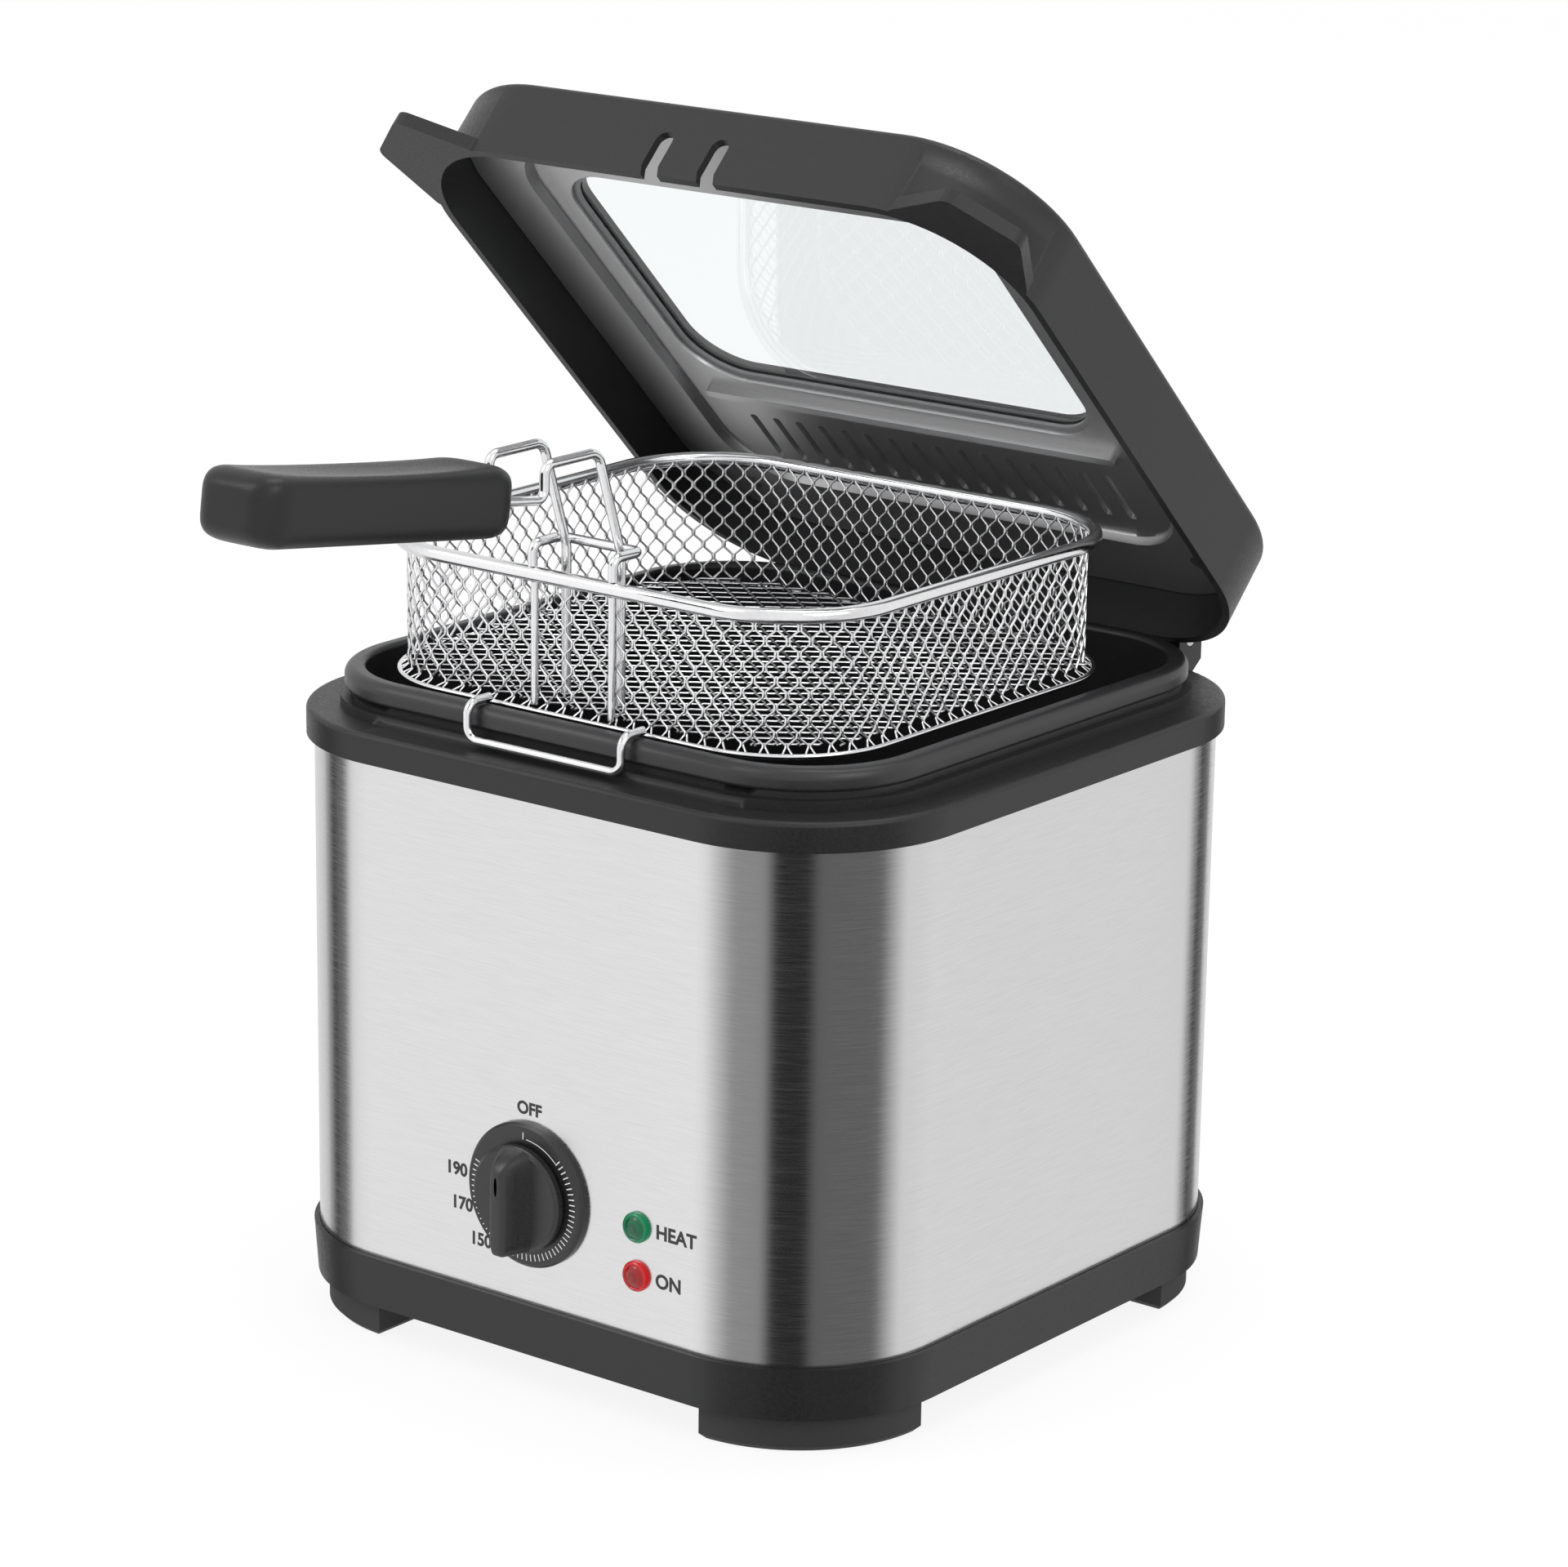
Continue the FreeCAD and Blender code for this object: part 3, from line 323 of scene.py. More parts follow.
STEEL = Finish("brushed_steel_sleeve", (0.56, 0.56, 0.56), (0.76, 0.76, 0.76), (0.16, 0.30), 5200.0, 0.06,
               metal=1.0, brushed=True)
PLASTIC = Finish("satin_black_plastic", (0.010, 0.010, 0.011), (0.022, 0.022, 0.023), (0.34, 0.50), 1400.0,
                 0.10, specular=0.34)
PANEL = Finish("satin_lid_lining", (0.44, 0.44, 0.445), (0.52, 0.52, 0.525), (0.28, 0.36), 2200.0, 0.02,
               metal=0.85)
COATING = Finish("non_stick_coating", (0.010, 0.010, 0.011), (0.026, 0.026, 0.028), (0.28, 0.46), 2600.0,
                 0.16)
GRIP = Finish("soft_grip_plastic", (0.008, 0.008, 0.009), (0.016, 0.016, 0.017), (0.30, 0.44), 1700.0, 0.08,
              specular=0.32)
KNOB = Finish("knob_plastic", (0.010, 0.010, 0.010), (0.020, 0.020, 0.021), (0.26, 0.40), 1500.0, 0.06)
CHROME = Finish("plated_wire", (0.74, 0.74, 0.75), (0.86, 0.86, 0.87), (0.08, 0.20), 900.0, 0.02, metal=1.0)
SCREW = Finish("zinc_screw", (0.50, 0.50, 0.50), (0.68, 0.68, 0.66), (0.25, 0.45), 1800.0, 0.10, metal=1.0)
ALLOY = Finish("cast_alloy", (0.55, 0.55, 0.56), (0.70, 0.70, 0.70), (0.35, 0.55), 1200.0, 0.20, metal=1.0)
RUBBER = Finish("foot_rubber", (0.010, 0.010, 0.010), (0.022, 0.022, 0.022), (0.55, 0.75), 1500.0, 0.15)
SILICONE = Finish("grey_silicone", (0.18, 0.18, 0.185), (0.25, 0.25, 0.255), (0.45, 0.60), 1500.0, 0.06)
PALE = Finish("pale_moulding", (0.62, 0.61, 0.58), (0.76, 0.75, 0.71), (0.40, 0.55), 900.0, 0.08)
INK = Finish("printed_black", (0.012, 0.012, 0.012), (0.03, 0.03, 0.03), (0.5, 0.6), 2000.0, 0.02)
WHITE_INK = Finish("printed_white", (0.72, 0.72, 0.72), (0.85, 0.85, 0.85), (0.5, 0.6), 2000.0, 0.02)
GLASS = ClearGlass("window_glass", (0.93, 0.96, 0.96))


def new_object(name: str, data: ID) -> Object:
    """Link an object into the scene.

    Args:
        name: Name of the object.
        data: Its mesh, text, lamp or camera.
    Returns:
        The object.
    """
    item = bpy.data.objects.new(name, data)
    bpy.context.scene.collection.objects.link(item)
    return item


def attach(item: Object, body: Body, slot: str, *nodes: str) -> Object:
    """Ride a piece on its body and say which nodes it stands for.

    Args:
        item: The piece.
        body: Body that carries it.
        slot: Material slot of the record; not used.
        nodes: Nodes that it replaces.
    Returns:
        The piece.
    """
    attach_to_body(item, body.value)
    if nodes:
        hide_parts(*nodes)
    LOG.info("piece %s on %s", item.name, body.value)
    return item


def smooth_faces(mesh: Mesh, angle: float = 32.0) -> None:
    """Shade a mesh smooth, with hard edges where it turns by more than an angle."""
    mesh.shade_smooth()
    mesh.set_sharp_from_angle(angle=math.radians(angle))


def finished_node(name: str, finish: Finish, body: Body, slot: str) -> Object:
    """Smooth copy of a node in its finish.

    Args:
        name: Name of the node.
        finish: Its finish.
        body: Body that carries it.
        slot: Material slot of the record.
    Returns:
        The piece that stands for the node.
    """
    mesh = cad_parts[name].data.copy()
    work = bmesh.new()
    work.from_mesh(mesh)
    bmesh.ops.remove_doubles(work, verts=work.verts, dist=MERGE_GAP)
    bmesh.ops.dissolve_limit(work, angle_limit=FLAT_ANGLE, verts=work.verts, edges=work.edges)
    work.to_mesh(mesh)
    work.free()
    dress(mesh, finish.material())
    smooth_faces(mesh)
    item = new_object(f"{name}_finished", mesh)
    even = item.modifiers.new("even_shading", "WEIGHTED_NORMAL")
    even.keep_sharp = True
    return attach(item, body, slot, name)


def lofted(name: str, rings: Sequence[Sequence[Point]], finish: Finish, angle: float = 40.0) -> Object:
    """Closed skin through rings of equal point counts, capped at both ends.

    Args:
        name: Name of the piece.
        rings: Rings of points, in metres.
        finish: Its finish.
        angle: Turn above which an edge stays hard, in degrees.
    Returns:
        The piece.
    """
    work = bmesh.new()
    rows = [[work.verts.new(spot) for spot in ring] for ring in rings]
    count = len(rows[0])
    for lower, upper in zip(rows, rows[1:]):
        for n in range(count):
            work.faces.new((lower[n], lower[(n + 1) % count], upper[(n + 1) % count], upper[n]))
    work.faces.new(rows[0][::-1])
    work.faces.new(rows[-1])
    bmesh.ops.recalc_face_normals(work, faces=work.faces)
    mesh = bpy.data.meshes.new(name)
    work.to_mesh(mesh)
    work.free()
    dress(mesh, finish.material())
    smooth_faces(mesh, angle)
    return new_object(name, mesh)


def wire_tree() -> NodeTree:
    """Geometry tree that turns lines into round wire.

    Returns:
        The tree, with inputs Radius, Sides and Finish.
    """
    made = bpy.data.node_groups.get("round_wire")
    if made:
        return made
    build, given, result = open_tree(
        "round_wire", "GeometryNodeTree",
        {"Lines": "Geometry", "Radius": "Float", "Sides": "Int", "Finish": "Material"}, {"Wire": "Geometry"})
    line = build.add("GeometryNodeMeshToCurve")
    section = build.add("GeometryNodeCurvePrimitiveCircle")
    tube = build.add("GeometryNodeCurveToMesh")
    put(tube, {"Fill Caps": True})
    smooth = build.add("GeometryNodeSetShadeSmooth")
    real = build.add("GeometryNodeRealizeInstances")
    paint = build.add("GeometryNodeSetMaterial")
    build.link(given, "Lines", line, "Mesh")
    build.link(given, "Radius", section, "Radius")
    build.link(given, "Sides", section, "Resolution")
    build.link(line, "Curve", tube, "Curve")
    build.link(section, "Curve", tube, "Profile Curve")
    build.link(tube, "Mesh", smooth, "Geometry")
    build.link(smooth, "Geometry", real, "Geometry")
    build.link(real, "Geometry", paint, "Geometry")
    build.link(given, "Finish", paint, "Material")
    build.link(paint, "Geometry", result, "Wire")
    return build.tree


def apply_tree(item: Object, tree: NodeTree, values: dict[str, object]) -> Object:
    """Run a geometry tree on an object and keep the result as a plain mesh.

    Args:
        item: Object that holds the start geometry.
        tree: The tree.
        values: Input values by name.
    Returns:
        The same object with its new mesh.
    """
    step = item.modifiers.new("made", "NODES")
    step.node_group = tree
    for socket in tree.interface.items_tree:
        if socket.name in values:
            step[socket.identifier] = values[socket.name]
    shown = item.evaluated_get(bpy.context.evaluated_depsgraph_get())
    mesh = bpy.data.meshes.new_from_object(shown)
    item.modifiers.remove(step)
    item.data = mesh
    return item


def wire_piece(name: str, routes: Routes, radius: float, sides: int, finish: Finish) -> Object:
    """Round wire along one or more routes.

    Args:
        name: Name of the piece.
        routes: Points of each route in metres, and whether it closes on itself.
        radius: Wire radius in metres.
        sides: Sides of the wire's section.
        finish: Its finish.
    Returns:
        The piece.
    """
    spots: list[Point] = []
    edges: list[tuple[int, int]] = []
    for route, closed in routes:
        start = len(spots)
        spots.extend(route)
        edges.extend((start + n, start + n + 1) for n in range(len(route) - 1))
        if closed:
            edges.append((len(spots) - 1, start))
    mesh = bpy.data.meshes.new(name)
    mesh.from_pydata(spots, edges, [])
    item = new_object(name, mesh)
    return apply_tree(item, wire_tree(), {"Radius": radius, "Sides": sides, "Finish": finish.material()})


def bent_route(points: Sequence[Point], bends: Sequence[float], steps: int = 8) -> list[Point]:
    """Route of straight runs joined by arcs.

    Args:
        points: Corner points.
        bends: Bend radius at each inner corner.
        steps: Segments of each arc.
    Returns:
        Points along the route.
    """
    spots = [Vector(p) for p in points]
    route = [spots[0]]
    for before, spot, after, bend in zip(spots, spots[1:], spots[2:], bends):
        back = (before - spot).normalized()
        ahead = (after - spot).normalized()
        half = (math.pi - back.angle(ahead)) / 2
        inward = (back + ahead).normalized()
        centre = spot + inward * (bend / math.cos(half))
        for n in range(steps + 1):
            turn = half * (2 * n / steps - 1)
            side = (ahead - back).normalized()
            route.append(centre + (-inward * math.cos(turn) + side * math.sin(turn)) * bend)
    route.append(spots[-1])
    return [tuple(spot) for spot in route]


def turns_of(count: int) -> list[float]:
    """Angles of a full turn in equal steps."""
    return [2 * math.pi * n / count for n in range(count)]


def squarish(turn: float, wide_power: float, tall_power: float) -> tuple[float, float]:
    """Point at an angle on a ring of half size one with squared corners."""
    across, up = math.cos(turn), math.sin(turn)
    return math.copysign(abs(across) ** wide_power, across), math.copysign(abs(up) ** tall_power, up)


def turned(name: str, outline: Sequence[tuple[float, float]], centre: Vector, finish: Finish,
           sides: int = 96) -> Object:
    """Skin turned about an axis along Y.

    Args:
        name: Name of the piece.
        outline: Radius and distance along Y of each ring, in metres.
        centre: Point on the axis.
        finish: Its finish.
        sides: Points of each ring.
    Returns:
        The piece.
    """
    rings = [[(centre.x + radius * math.cos(turn), along, centre.z + radius * math.sin(turn))
              for turn in turns_of(sides)] for radius, along in outline]
    return lofted(name, rings, finish)


@dataclass
class RoundedPlan:
    """Rounded rectangle in plan, walked by distance along its edge."""

    centre: tuple[float, float]
    half_wide: float
    half_deep: float
    radius: float
    runs: list[tuple[str, float]] = field(init=False)

    def __post_init__(self) -> None:
        """Work out the straight and round runs, from the middle of the front."""
        wide = self.half_wide - self.radius
        deep = self.half_deep - self.radius
        bend = math.pi / 2 * self.radius
        self.runs = [("front", wide), ("c1", bend), ("right", 2 * deep), ("c2", bend), ("rear", 2 * wide),
                     ("c3", bend), ("left", 2 * deep), ("c4", bend), ("front_left", wide)]

    @property
    def length(self) -> float:
        """Length of the whole edge."""
        return sum(run for _, run in self.runs)

    def spot(self, along: float) -> tuple[float, float]:
        """Point at a distance along the edge, counter-clockwise from above.

        Args:
            along: Distance from the middle of the front.
        Returns:
            The point's x and y.
        """
        along %= self.length
        x, y, heading = 0.0, -self.half_deep, 0.0
        for name, run in self.runs:
            part = min(along, run)
            if name.startswith("c"):
                turn = part / self.radius
                x += self.radius * (math.sin(heading + turn) - math.sin(heading))
                y -= self.radius * (math.cos(heading + turn) - math.cos(heading))
                heading += turn
            else:
                x += part * math.cos(heading)
                y += part * math.sin(heading)
            along -= part
            if along <= 0:
                break
        return self.centre[0] + x, self.centre[1] + y

    def loop(self, height: float, steps: int) -> list[Point]:
        """Closed loop at a height."""
        return [(*self.spot(self.length * n / steps), height) for n in range(steps)]


@dataclass
class Basket:
    """Wire basket with its twisted net, frame wires and handle."""

    rim_wire: float = 2.0 * MM
    ring_wire: float = 1.5 * MM
    hem_wire: float = 0.75 * MM
    rim_bend: float = 32.0 * MM
    net_wire: float = 0.36 * MM
    strand_pitch: float = 2.9 * MM
    level_pitch: float = 3.6 * MM
    floor_pitch: float = 4.4 * MM
    twist: float = 0.8 * MM
    net_inset: float = 2.0 * MM
    net_sides: int = 5
    ring_steps: int = 260
    rim_sides: int = 20
    ring_sides: int = 14
    handle_sides: int = 18
    loop_sides: int = 16
    handle_wire: float = 1.3 * MM
    wire_side: float = 9.2 * MM
    leg_straight: float = 40.0 * MM
    hump_back: float = -84.0 * MM
    hump_front: float = -105.0 * MM
    hump_dip: float = 9.0 * MM
    wire_bends: tuple[float, ...] = (9.0 * MM, 4.5 * MM, 2.7 * MM, 2.7 * MM)
    loop_bend: float = 2.6 * MM
    grip_length: float = 94.2 * MM
    grip_width: float = 26.0 * MM
    grip_height: float = 19.0 * MM
    grip_ends: float = 9.0 * MM
    grip_end_share: float = 0.45
    grip_square: float = 0.42
    grip_steps: int = 60
    grip_sides: int = 56
    grip_dish: float = 2.4 * MM
    dish_start: float = 0.06
    dish_power: float = 0.6
    dish_edge: float = 0.3
    grip_tilt: float = math.radians(8.0)

    def __post_init__(self) -> None:
        """Take the places from the frame."""
        low, high = node_box("basket_rim")
        self.centre = ((low.x + high.x) / 2, (low.y + high.y) / 2)
        self.rim_up = (low.z + high.z) / 2
        self.half = ((high.x - low.x) / 2 - self.rim_wire, (high.y - low.y) / 2 - self.rim_wire)

    def plan(self, inset: float) -> RoundedPlan:
        """Plan of the basket's wall, drawn in by a distance."""
        return RoundedPlan(self.centre, self.half[0] - inset, self.half[1] - inset, self.rim_bend - inset)

    def lower_ring(self) -> tuple[RoundedPlan, float]:
        """Plan and height of the ring under the net."""
        low, high = node_box("basket_base_wire")
        return self.plan(self.ring_wire - self.rim_wire), (low.z + high.z) / 2

    def net_offset(self, strand: int, level: int) -> float:
        """Sideways place of a strand at a level: with one neighbour, then with the other."""
        reach = self.strand_pitch / 2 - self.net_wire
        return reach if (strand + level) % 2 == 0 else -reach

    def plated(self, name: str, routes: Routes, radius: float, sides: int, *nodes: str) -> None:
        """Plated wire that rides with the basket in place of its nodes."""
        attach(wire_piece(name, routes, radius, sides, CHROME), Body.BASKET, "chrome_wire", *nodes)

    def wall_net(self) -> None:
        """Twisted net of the wall."""
        wall = self.plan(self.net_inset)
        bottom = node_box("basket_net_floor")[0].z
        ring, ring_up = self.lower_ring()
        top = self.rim_up
        strands = 2 * round(wall.length / self.strand_pitch / 2)
        levels = round((top - bottom) / self.level_pitch)
        routes = []
        for strand in range(strands):
            hem = ring.spot(strand * ring.length / strands)
            route = [(*hem, ring_up)]
            for level in range(levels + 1):
                along = strand * wall.length / strands + self.net_offset(strand, level)
                x, y = wall.spot(along)
                middle = bottom + (top - bottom) * level / levels
                for shift in (-self.twist, self.twist):
                    route.append((x, y, min(max(middle + shift, bottom), top)))
            routes.append((route, False))
        walls = [f"basket_net_{side}" for side in ("front", "rear", "left", "right", "corners")]
        self.plated("basket_wall_mesh", routes, self.net_wire, self.net_sides, *walls)

    def floor_net(self) -> None:
        """Twisted net of the floor."""
        low, high = node_box("basket_net_floor")
        height = (low.z + high.z) / 2
        radius = self.rim_bend - self.net_inset
        half_x = (high.x - low.x) / 2
        half_y = (high.y - low.y) / 2
        strands = int(2 * half_x / self.floor_pitch)
        levels = int(2 * half_y / self.level_pitch)
        routes = []
        for strand in range(strands):
            base_x = (strand + 0.5) * self.floor_pitch - half_x
            past = max(abs(base_x) - (half_x - radius), 0.0)
            reach = half_y - radius + math.sqrt(max(radius ** 2 - past ** 2, 0.0))
            route = []
            for level in range(levels + 1):
                middle = level * self.level_pitch - half_y
                if abs(middle) > reach:
                    continue
                x = base_x + self.net_offset(strand, level) * self.floor_pitch / self.strand_pitch
                for shift in (-self.twist, self.twist):
                    y = min(max(middle + shift, -reach), reach)
                    route.append((self.centre[0] + x, self.centre[1] + y, height))
            if len(route) > 2:
                routes.append((route, False))
        self.plated("basket_floor_mesh", routes, self.net_wire, self.net_sides, "basket_net_floor")

    def frame_wires(self) -> None:
        """Rim, lower ring and the two upright straps."""
        rim = self.plan(0.0).loop(self.rim_up, self.ring_steps)
        self.plated("basket_rim_wire", [(rim, True)], self.rim_wire, self.rim_sides, "basket_rim")
        ring, ring_up = self.lower_ring()
        hem = ring.loop(ring_up, self.ring_steps)
        self.plated("basket_lower_ring", [(hem, True)], self.hem_wire, self.ring_sides, "basket_base_wire")
        low, high = node_box("basket_straps")
        radius = (high.y - low.y) / 2
        routes = [([(x, low.y + radius, low.z), (x, low.y + radius, high.z)], False)
                  for x in (low.x + radius, high.x - radius)]
        self.plated("basket_upright_straps", routes, radius, self.ring_sides, "basket_straps")

    def handle_wires(self) -> None:
        """Bent wires of the handle and the loop that holds them."""
        low, high = node_box("handle_wires")
        radius = self.handle_wire
        leg = high.y - radius
        hump_front = CENTRE_BACK + self.hump_front
        hump_back = CENTRE_BACK + self.hump_back
        hump_up = high.z - radius
        dip = hump_up - self.hump_dip
        end = low.y + radius * math.sin(self.grip_tilt)
        routes = []
        for side in (-self.wire_side, self.wire_side):
            points = [(side, leg, low.z), (side, leg, low.z + self.leg_straight), (side, hump_back, hump_up),
                      (side, hump_front, hump_up), (side, hump_front, dip),
                      (side, end, dip + (hump_front - end) * math.tan(self.grip_tilt))]
            routes.append((bent_route(points, self.wire_bends), False))
        self.plated("handle_bent_wires", routes, radius, self.handle_sides, "handle_wires")
        low, high = node_box("handle_retainer")
        half = high.x - radius
        front = low.y + radius
        back = high.y - radius
        up = high.z - radius
        points = [(-half, front, low.z), (-half, front, up), (-half, back, up), (half, back, up),
                  (half, front, up), (half, front, low.z)]
        route = bent_route(points, [self.loop_bend] * 4)
        self.plated("handle_holding_loop", [(route, False)], radius, self.loop_sides, "handle_retainer")

    def grip(self) -> None:
        """Hand grip with round ends and a dished top."""
        length, half_wide, half_tall = self.grip_length, self.grip_width / 2, self.grip_height / 2
        low, high = node_box("handle_grip")
        lean = Matrix.Rotation(-self.grip_tilt, 4, "X")
        middle = Vector((0.0, (low.y + high.y) / 2, (low.z + high.z) / 2))
        rings = []
        for n in range(self.grip_steps + 1):
            along = (1 - math.cos(math.pi * n / self.grip_steps)) / 2 * length
            near = min(along, length - along)
            swell = math.sqrt(max(1 - (1 - min(near / self.grip_ends, 1.0)) ** 2, 0.0))
            swell = self.grip_end_share + (1 - self.grip_end_share) * swell
            share = min(max((along / length - self.dish_start) / (1 - 2 * self.dish_start), 0), 1)
            dish = self.grip_dish * max(0.0, math.sin(math.pi * share)) ** self.dish_power
            ring = []
            for turn in turns_of(self.grip_sides):
                across, up = squarish(turn, self.grip_square, self.grip_square)
                x, z = across * half_wide * swell, up * half_tall * swell
                if up > 0:
                    z -= dish * (1 - (x / half_wide) ** 2) * math.sin(turn) ** self.dish_edge
                ring.append(tuple(lean @ Vector((x, length / 2 - along, z)) + middle))
            rings.append(ring)
        item = lofted("handle_hand_grip", rings, GRIP, 60.0)
        attach(item, Body.BASKET, "black_plastic", "handle_grip")

    def build(self) -> None:
        """Make every piece of the basket."""
        self.wall_net()
        self.floor_net()
        self.frame_wires()
        self.handle_wires()
        self.grip()


@dataclass
class Controls:
    """Dial, knob, lamps and the printed marks of the front."""

    disc_less: float = 0.8 * MM
    disc_thick: float = 3.4 * MM
    disc_edge: float = 0.7 * MM
    bar_base: float = 13.0 * MM
    bar_tip: float = 4.6 * MM
    bar_short: float = 0.8 * MM
    bar_sunk: float = 0.4 * MM
    bar_taper: float = 5.0 * MM
    bar_drop: float = 2.2 * MM
    bar_narrowing: float = 0.8
    bar_square: tuple[float, float] = (0.5, 0.32)
    bar_sides: int = 48
    pointer_half: tuple[float, float] = (0.5 * MM, 2.7 * MM)
    pointer_deep: float = 0.3 * MM
    pointer_share: float = 0.18
    pointer_rise: float = 3.0 * MM
    pointer_sides: int = 24
    first_tick: float = 45.0
    last_tick: float = 292.0
    arc_radius: float = 16.1 * MM
    arc_span: tuple[float, float] = (4.0, 44.0)
    arc_steps: int = 24
    arc_wire: float = 0.12 * MM
    number_size: float = 5.0
    word_size: float = 5.4
    word_gap: float = 2.0 * MM
    stroke_more: float = 0.17 * MM
    lens_stem: float = 3.3 * MM
    lens_deep: float = 12.0 * MM
    lens_sides: int = 48
    pole: float = 0.01 * MM
    tick_radius: float = 16.9 * MM
    tick_long: float = 1.9 * MM
    tick_wide: float = 0.28 * MM
    tick_count: int = 50
    print_thick: float = 0.04 * MM

    def __post_init__(self) -> None:
        """Take the places from the frame."""
        low, high = node_box("dial_ring")
        self.centre = (low + high) / 2
        self.face = low.y
        self.wall = high.y

    def knob(self) -> None:
        """Round knob with a raised bar across it and a pointer on the bar."""
        low, high = node_box("thermostat_knob")
        back, front = high.y, low.y
        radius = (high.z - low.z) / 2 - self.disc_less
        disc = back - self.disc_thick
        edge, lip = self.disc_edge, self.disc_edge * 1.4
        outline = [(self.pole, back), (radius - edge, back), (radius, back - edge), (radius, disc + lip),
                   (radius - lip, disc), (self.pole, disc)]
        attach(turned("knob_disc", outline, self.centre, KNOB), Body.KNOB, "black_plastic", "thermostat_knob")
        foot = disc + self.bar_sunk
        levels = [(0.0, 0.0), (0.55, 0.0), (0.84, 0.0), (0.94, 0.5 * MM), (0.985, 1.1 * MM), (1.0, 2.0 * MM)]
        rings = []
        for share, shrink in levels:
            narrower = (self.bar_base - self.bar_tip) * share ** self.bar_narrowing
            half_wide = (self.bar_base - narrower - shrink) / 2
            half_long = (2 * radius - self.bar_short - shrink * 1.4 - share ** 2 * self.bar_taper) / 2
            middle = self.centre.z - share ** 2 * self.bar_drop
            ring = []
            for turn in turns_of(self.bar_sides):
                across, up = squarish(turn, *self.bar_square)
                x = self.centre.x + across * half_wide
                ring.append((x, foot + (front - foot) * share, middle + up * half_long))
            rings.append(ring)
        attach(lofted("knob_bar", rings, KNOB, 50.0), Body.KNOB, "black_plastic")
        pointer_up = self.centre.z + radius * self.pointer_share + self.pointer_rise
        half_wide, half_long = self.pointer_half
        rings = [[(self.centre.x + half_wide * math.cos(turn), y, pointer_up + half_long * math.sin(turn))
                  for turn in turns_of(self.pointer_sides)] for y in (front + self.pointer_deep, front)]
        attach(lofted("knob_pointer", rings, INK), Body.KNOB, "black_plastic")

    def tick_tree(self) -> NodeTree:
        """Geometry tree that sets a small bar on each point, turned by its own angle.

        Returns:
            The tree, with inputs Size and Finish.
        """
        build, given, result = open_tree(
            "dial_ticks", "GeometryNodeTree",
            {"Points": "Geometry", "Size": "Vector", "Finish": "Material"}, {"Ticks": "Geometry"})
        bar = build.add("GeometryNodeMeshCube")
        turn = build.add("GeometryNodeInputNamedAttribute", data_type="FLOAT")
        put(turn, {"Name": "turn"})
        angle = build.add("ShaderNodeCombineXYZ")
        copies = build.add("GeometryNodeInstanceOnPoints")
        real = build.add("GeometryNodeRealizeInstances")
        paint = build.add("GeometryNodeSetMaterial")
        build.link(given, "Points", copies, "Points")
        build.link(given, "Size", bar, "Size")
        build.link(bar, "Mesh", copies, "Instance")
        build.link(turn, "Attribute", angle, "Y")
        build.link(angle, "Vector", copies, "Rotation")
        build.link(copies, "Instances", real, "Geometry")
        build.link(real, "Geometry", paint, "Geometry")
        build.link(given, "Finish", paint, "Material")
        build.link(paint, "Geometry", result, "Ticks")
        return build.tree

    def dial_spot(self, turn: float, radius: float, y: float) -> Point:
        """Point on the dial at an angle from the top."""
        return self.centre.x + radius * math.sin(turn), y, self.centre.z + radius * math.cos(turn)

    def ticks(self) -> None:
        """White ticks and the thin arc printed on the dial ring."""
        step = (self.last_tick - self.first_tick) / (self.tick_count - 1)
        turns = [math.radians(self.first_tick + step * n) for n in range(self.tick_count)] + [0.0]
        spots = [self.dial_spot(turn, self.tick_radius, self.face - self.print_thick / 2) for turn in turns]
        mesh = bpy.data.meshes.new("dial_ticks")
        mesh.from_pydata(spots, [], [])
        values = mesh.attributes.new("turn", "FLOAT", "POINT")
        values.data.foreach_set("value", turns)
        item = new_object("dial_tick_marks", mesh)
        size = (self.tick_wide, self.print_thick, self.tick_long)
        apply_tree(item, self.tick_tree(), {"Size": size, "Finish": WHITE_INK.material()})
        attach(item, Body.ROOT, "black_plastic")
        start, end = self.arc_span
        turns = [math.radians(start + (end - start) * n / self.arc_steps) for n in range(self.arc_steps + 1)]
        arc = [self.dial_spot(turn, self.arc_radius, self.face) for turn in turns]
        item = wire_piece("dial_arc_mark", [(arc, False)], self.arc_wire, 4, WHITE_INK)
        attach(item, Body.ROOT, "black_plastic")

    def words(self) -> None:
        """Plain marks printed on the steel round the dial and beside the lamps."""
        green_low, green_high = node_box("lamp_lens_green")
        red_low, red_high = node_box("lamp_lens_red")
        beside = (green_high.x + self.word_gap) / MM
        marks = [("OFF", 0.0, 79.0, 4.8, "CENTER"), ("190", -25.5, 56.6, self.number_size, "CENTER"),
                 ("170", -23.6, 47.1, self.number_size, "CENTER"),
                 ("150", -17.0, 38.3, self.number_size, "CENTER"),
                 ("HEAT", beside, (green_low.z + green_high.z) / 2 / MM, self.word_size, "LEFT"),
                 ("ON", beside, (red_low.z + red_high.z) / 2 / MM, self.word_size, "LEFT")]
        for number, (word, x, z, size, align) in enumerate(marks):
            text = bpy.data.curves.new(f"mark_{number}", "FONT")
            text.body = word
            text.size = size * MM
            text.align_x = align
            text.align_y = "CENTER"
            text.extrude = self.print_thick / 2
            text.offset = self.stroke_more
            holder = new_object("mark_text", text)
            shown = holder.evaluated_get(bpy.context.evaluated_depsgraph_get())
            mesh = bpy.data.meshes.new_from_object(shown)
            bpy.data.objects.remove(holder)
            place = Matrix.Translation((x * MM, self.wall - self.print_thick / 2, z * MM))
            mesh.transform(place @ Matrix.Rotation(math.pi / 2, 4, "X"))
            dress(mesh, INK.material())
            attach(new_object(f"printed_mark_{number}", mesh), Body.ROOT, "black_plastic")

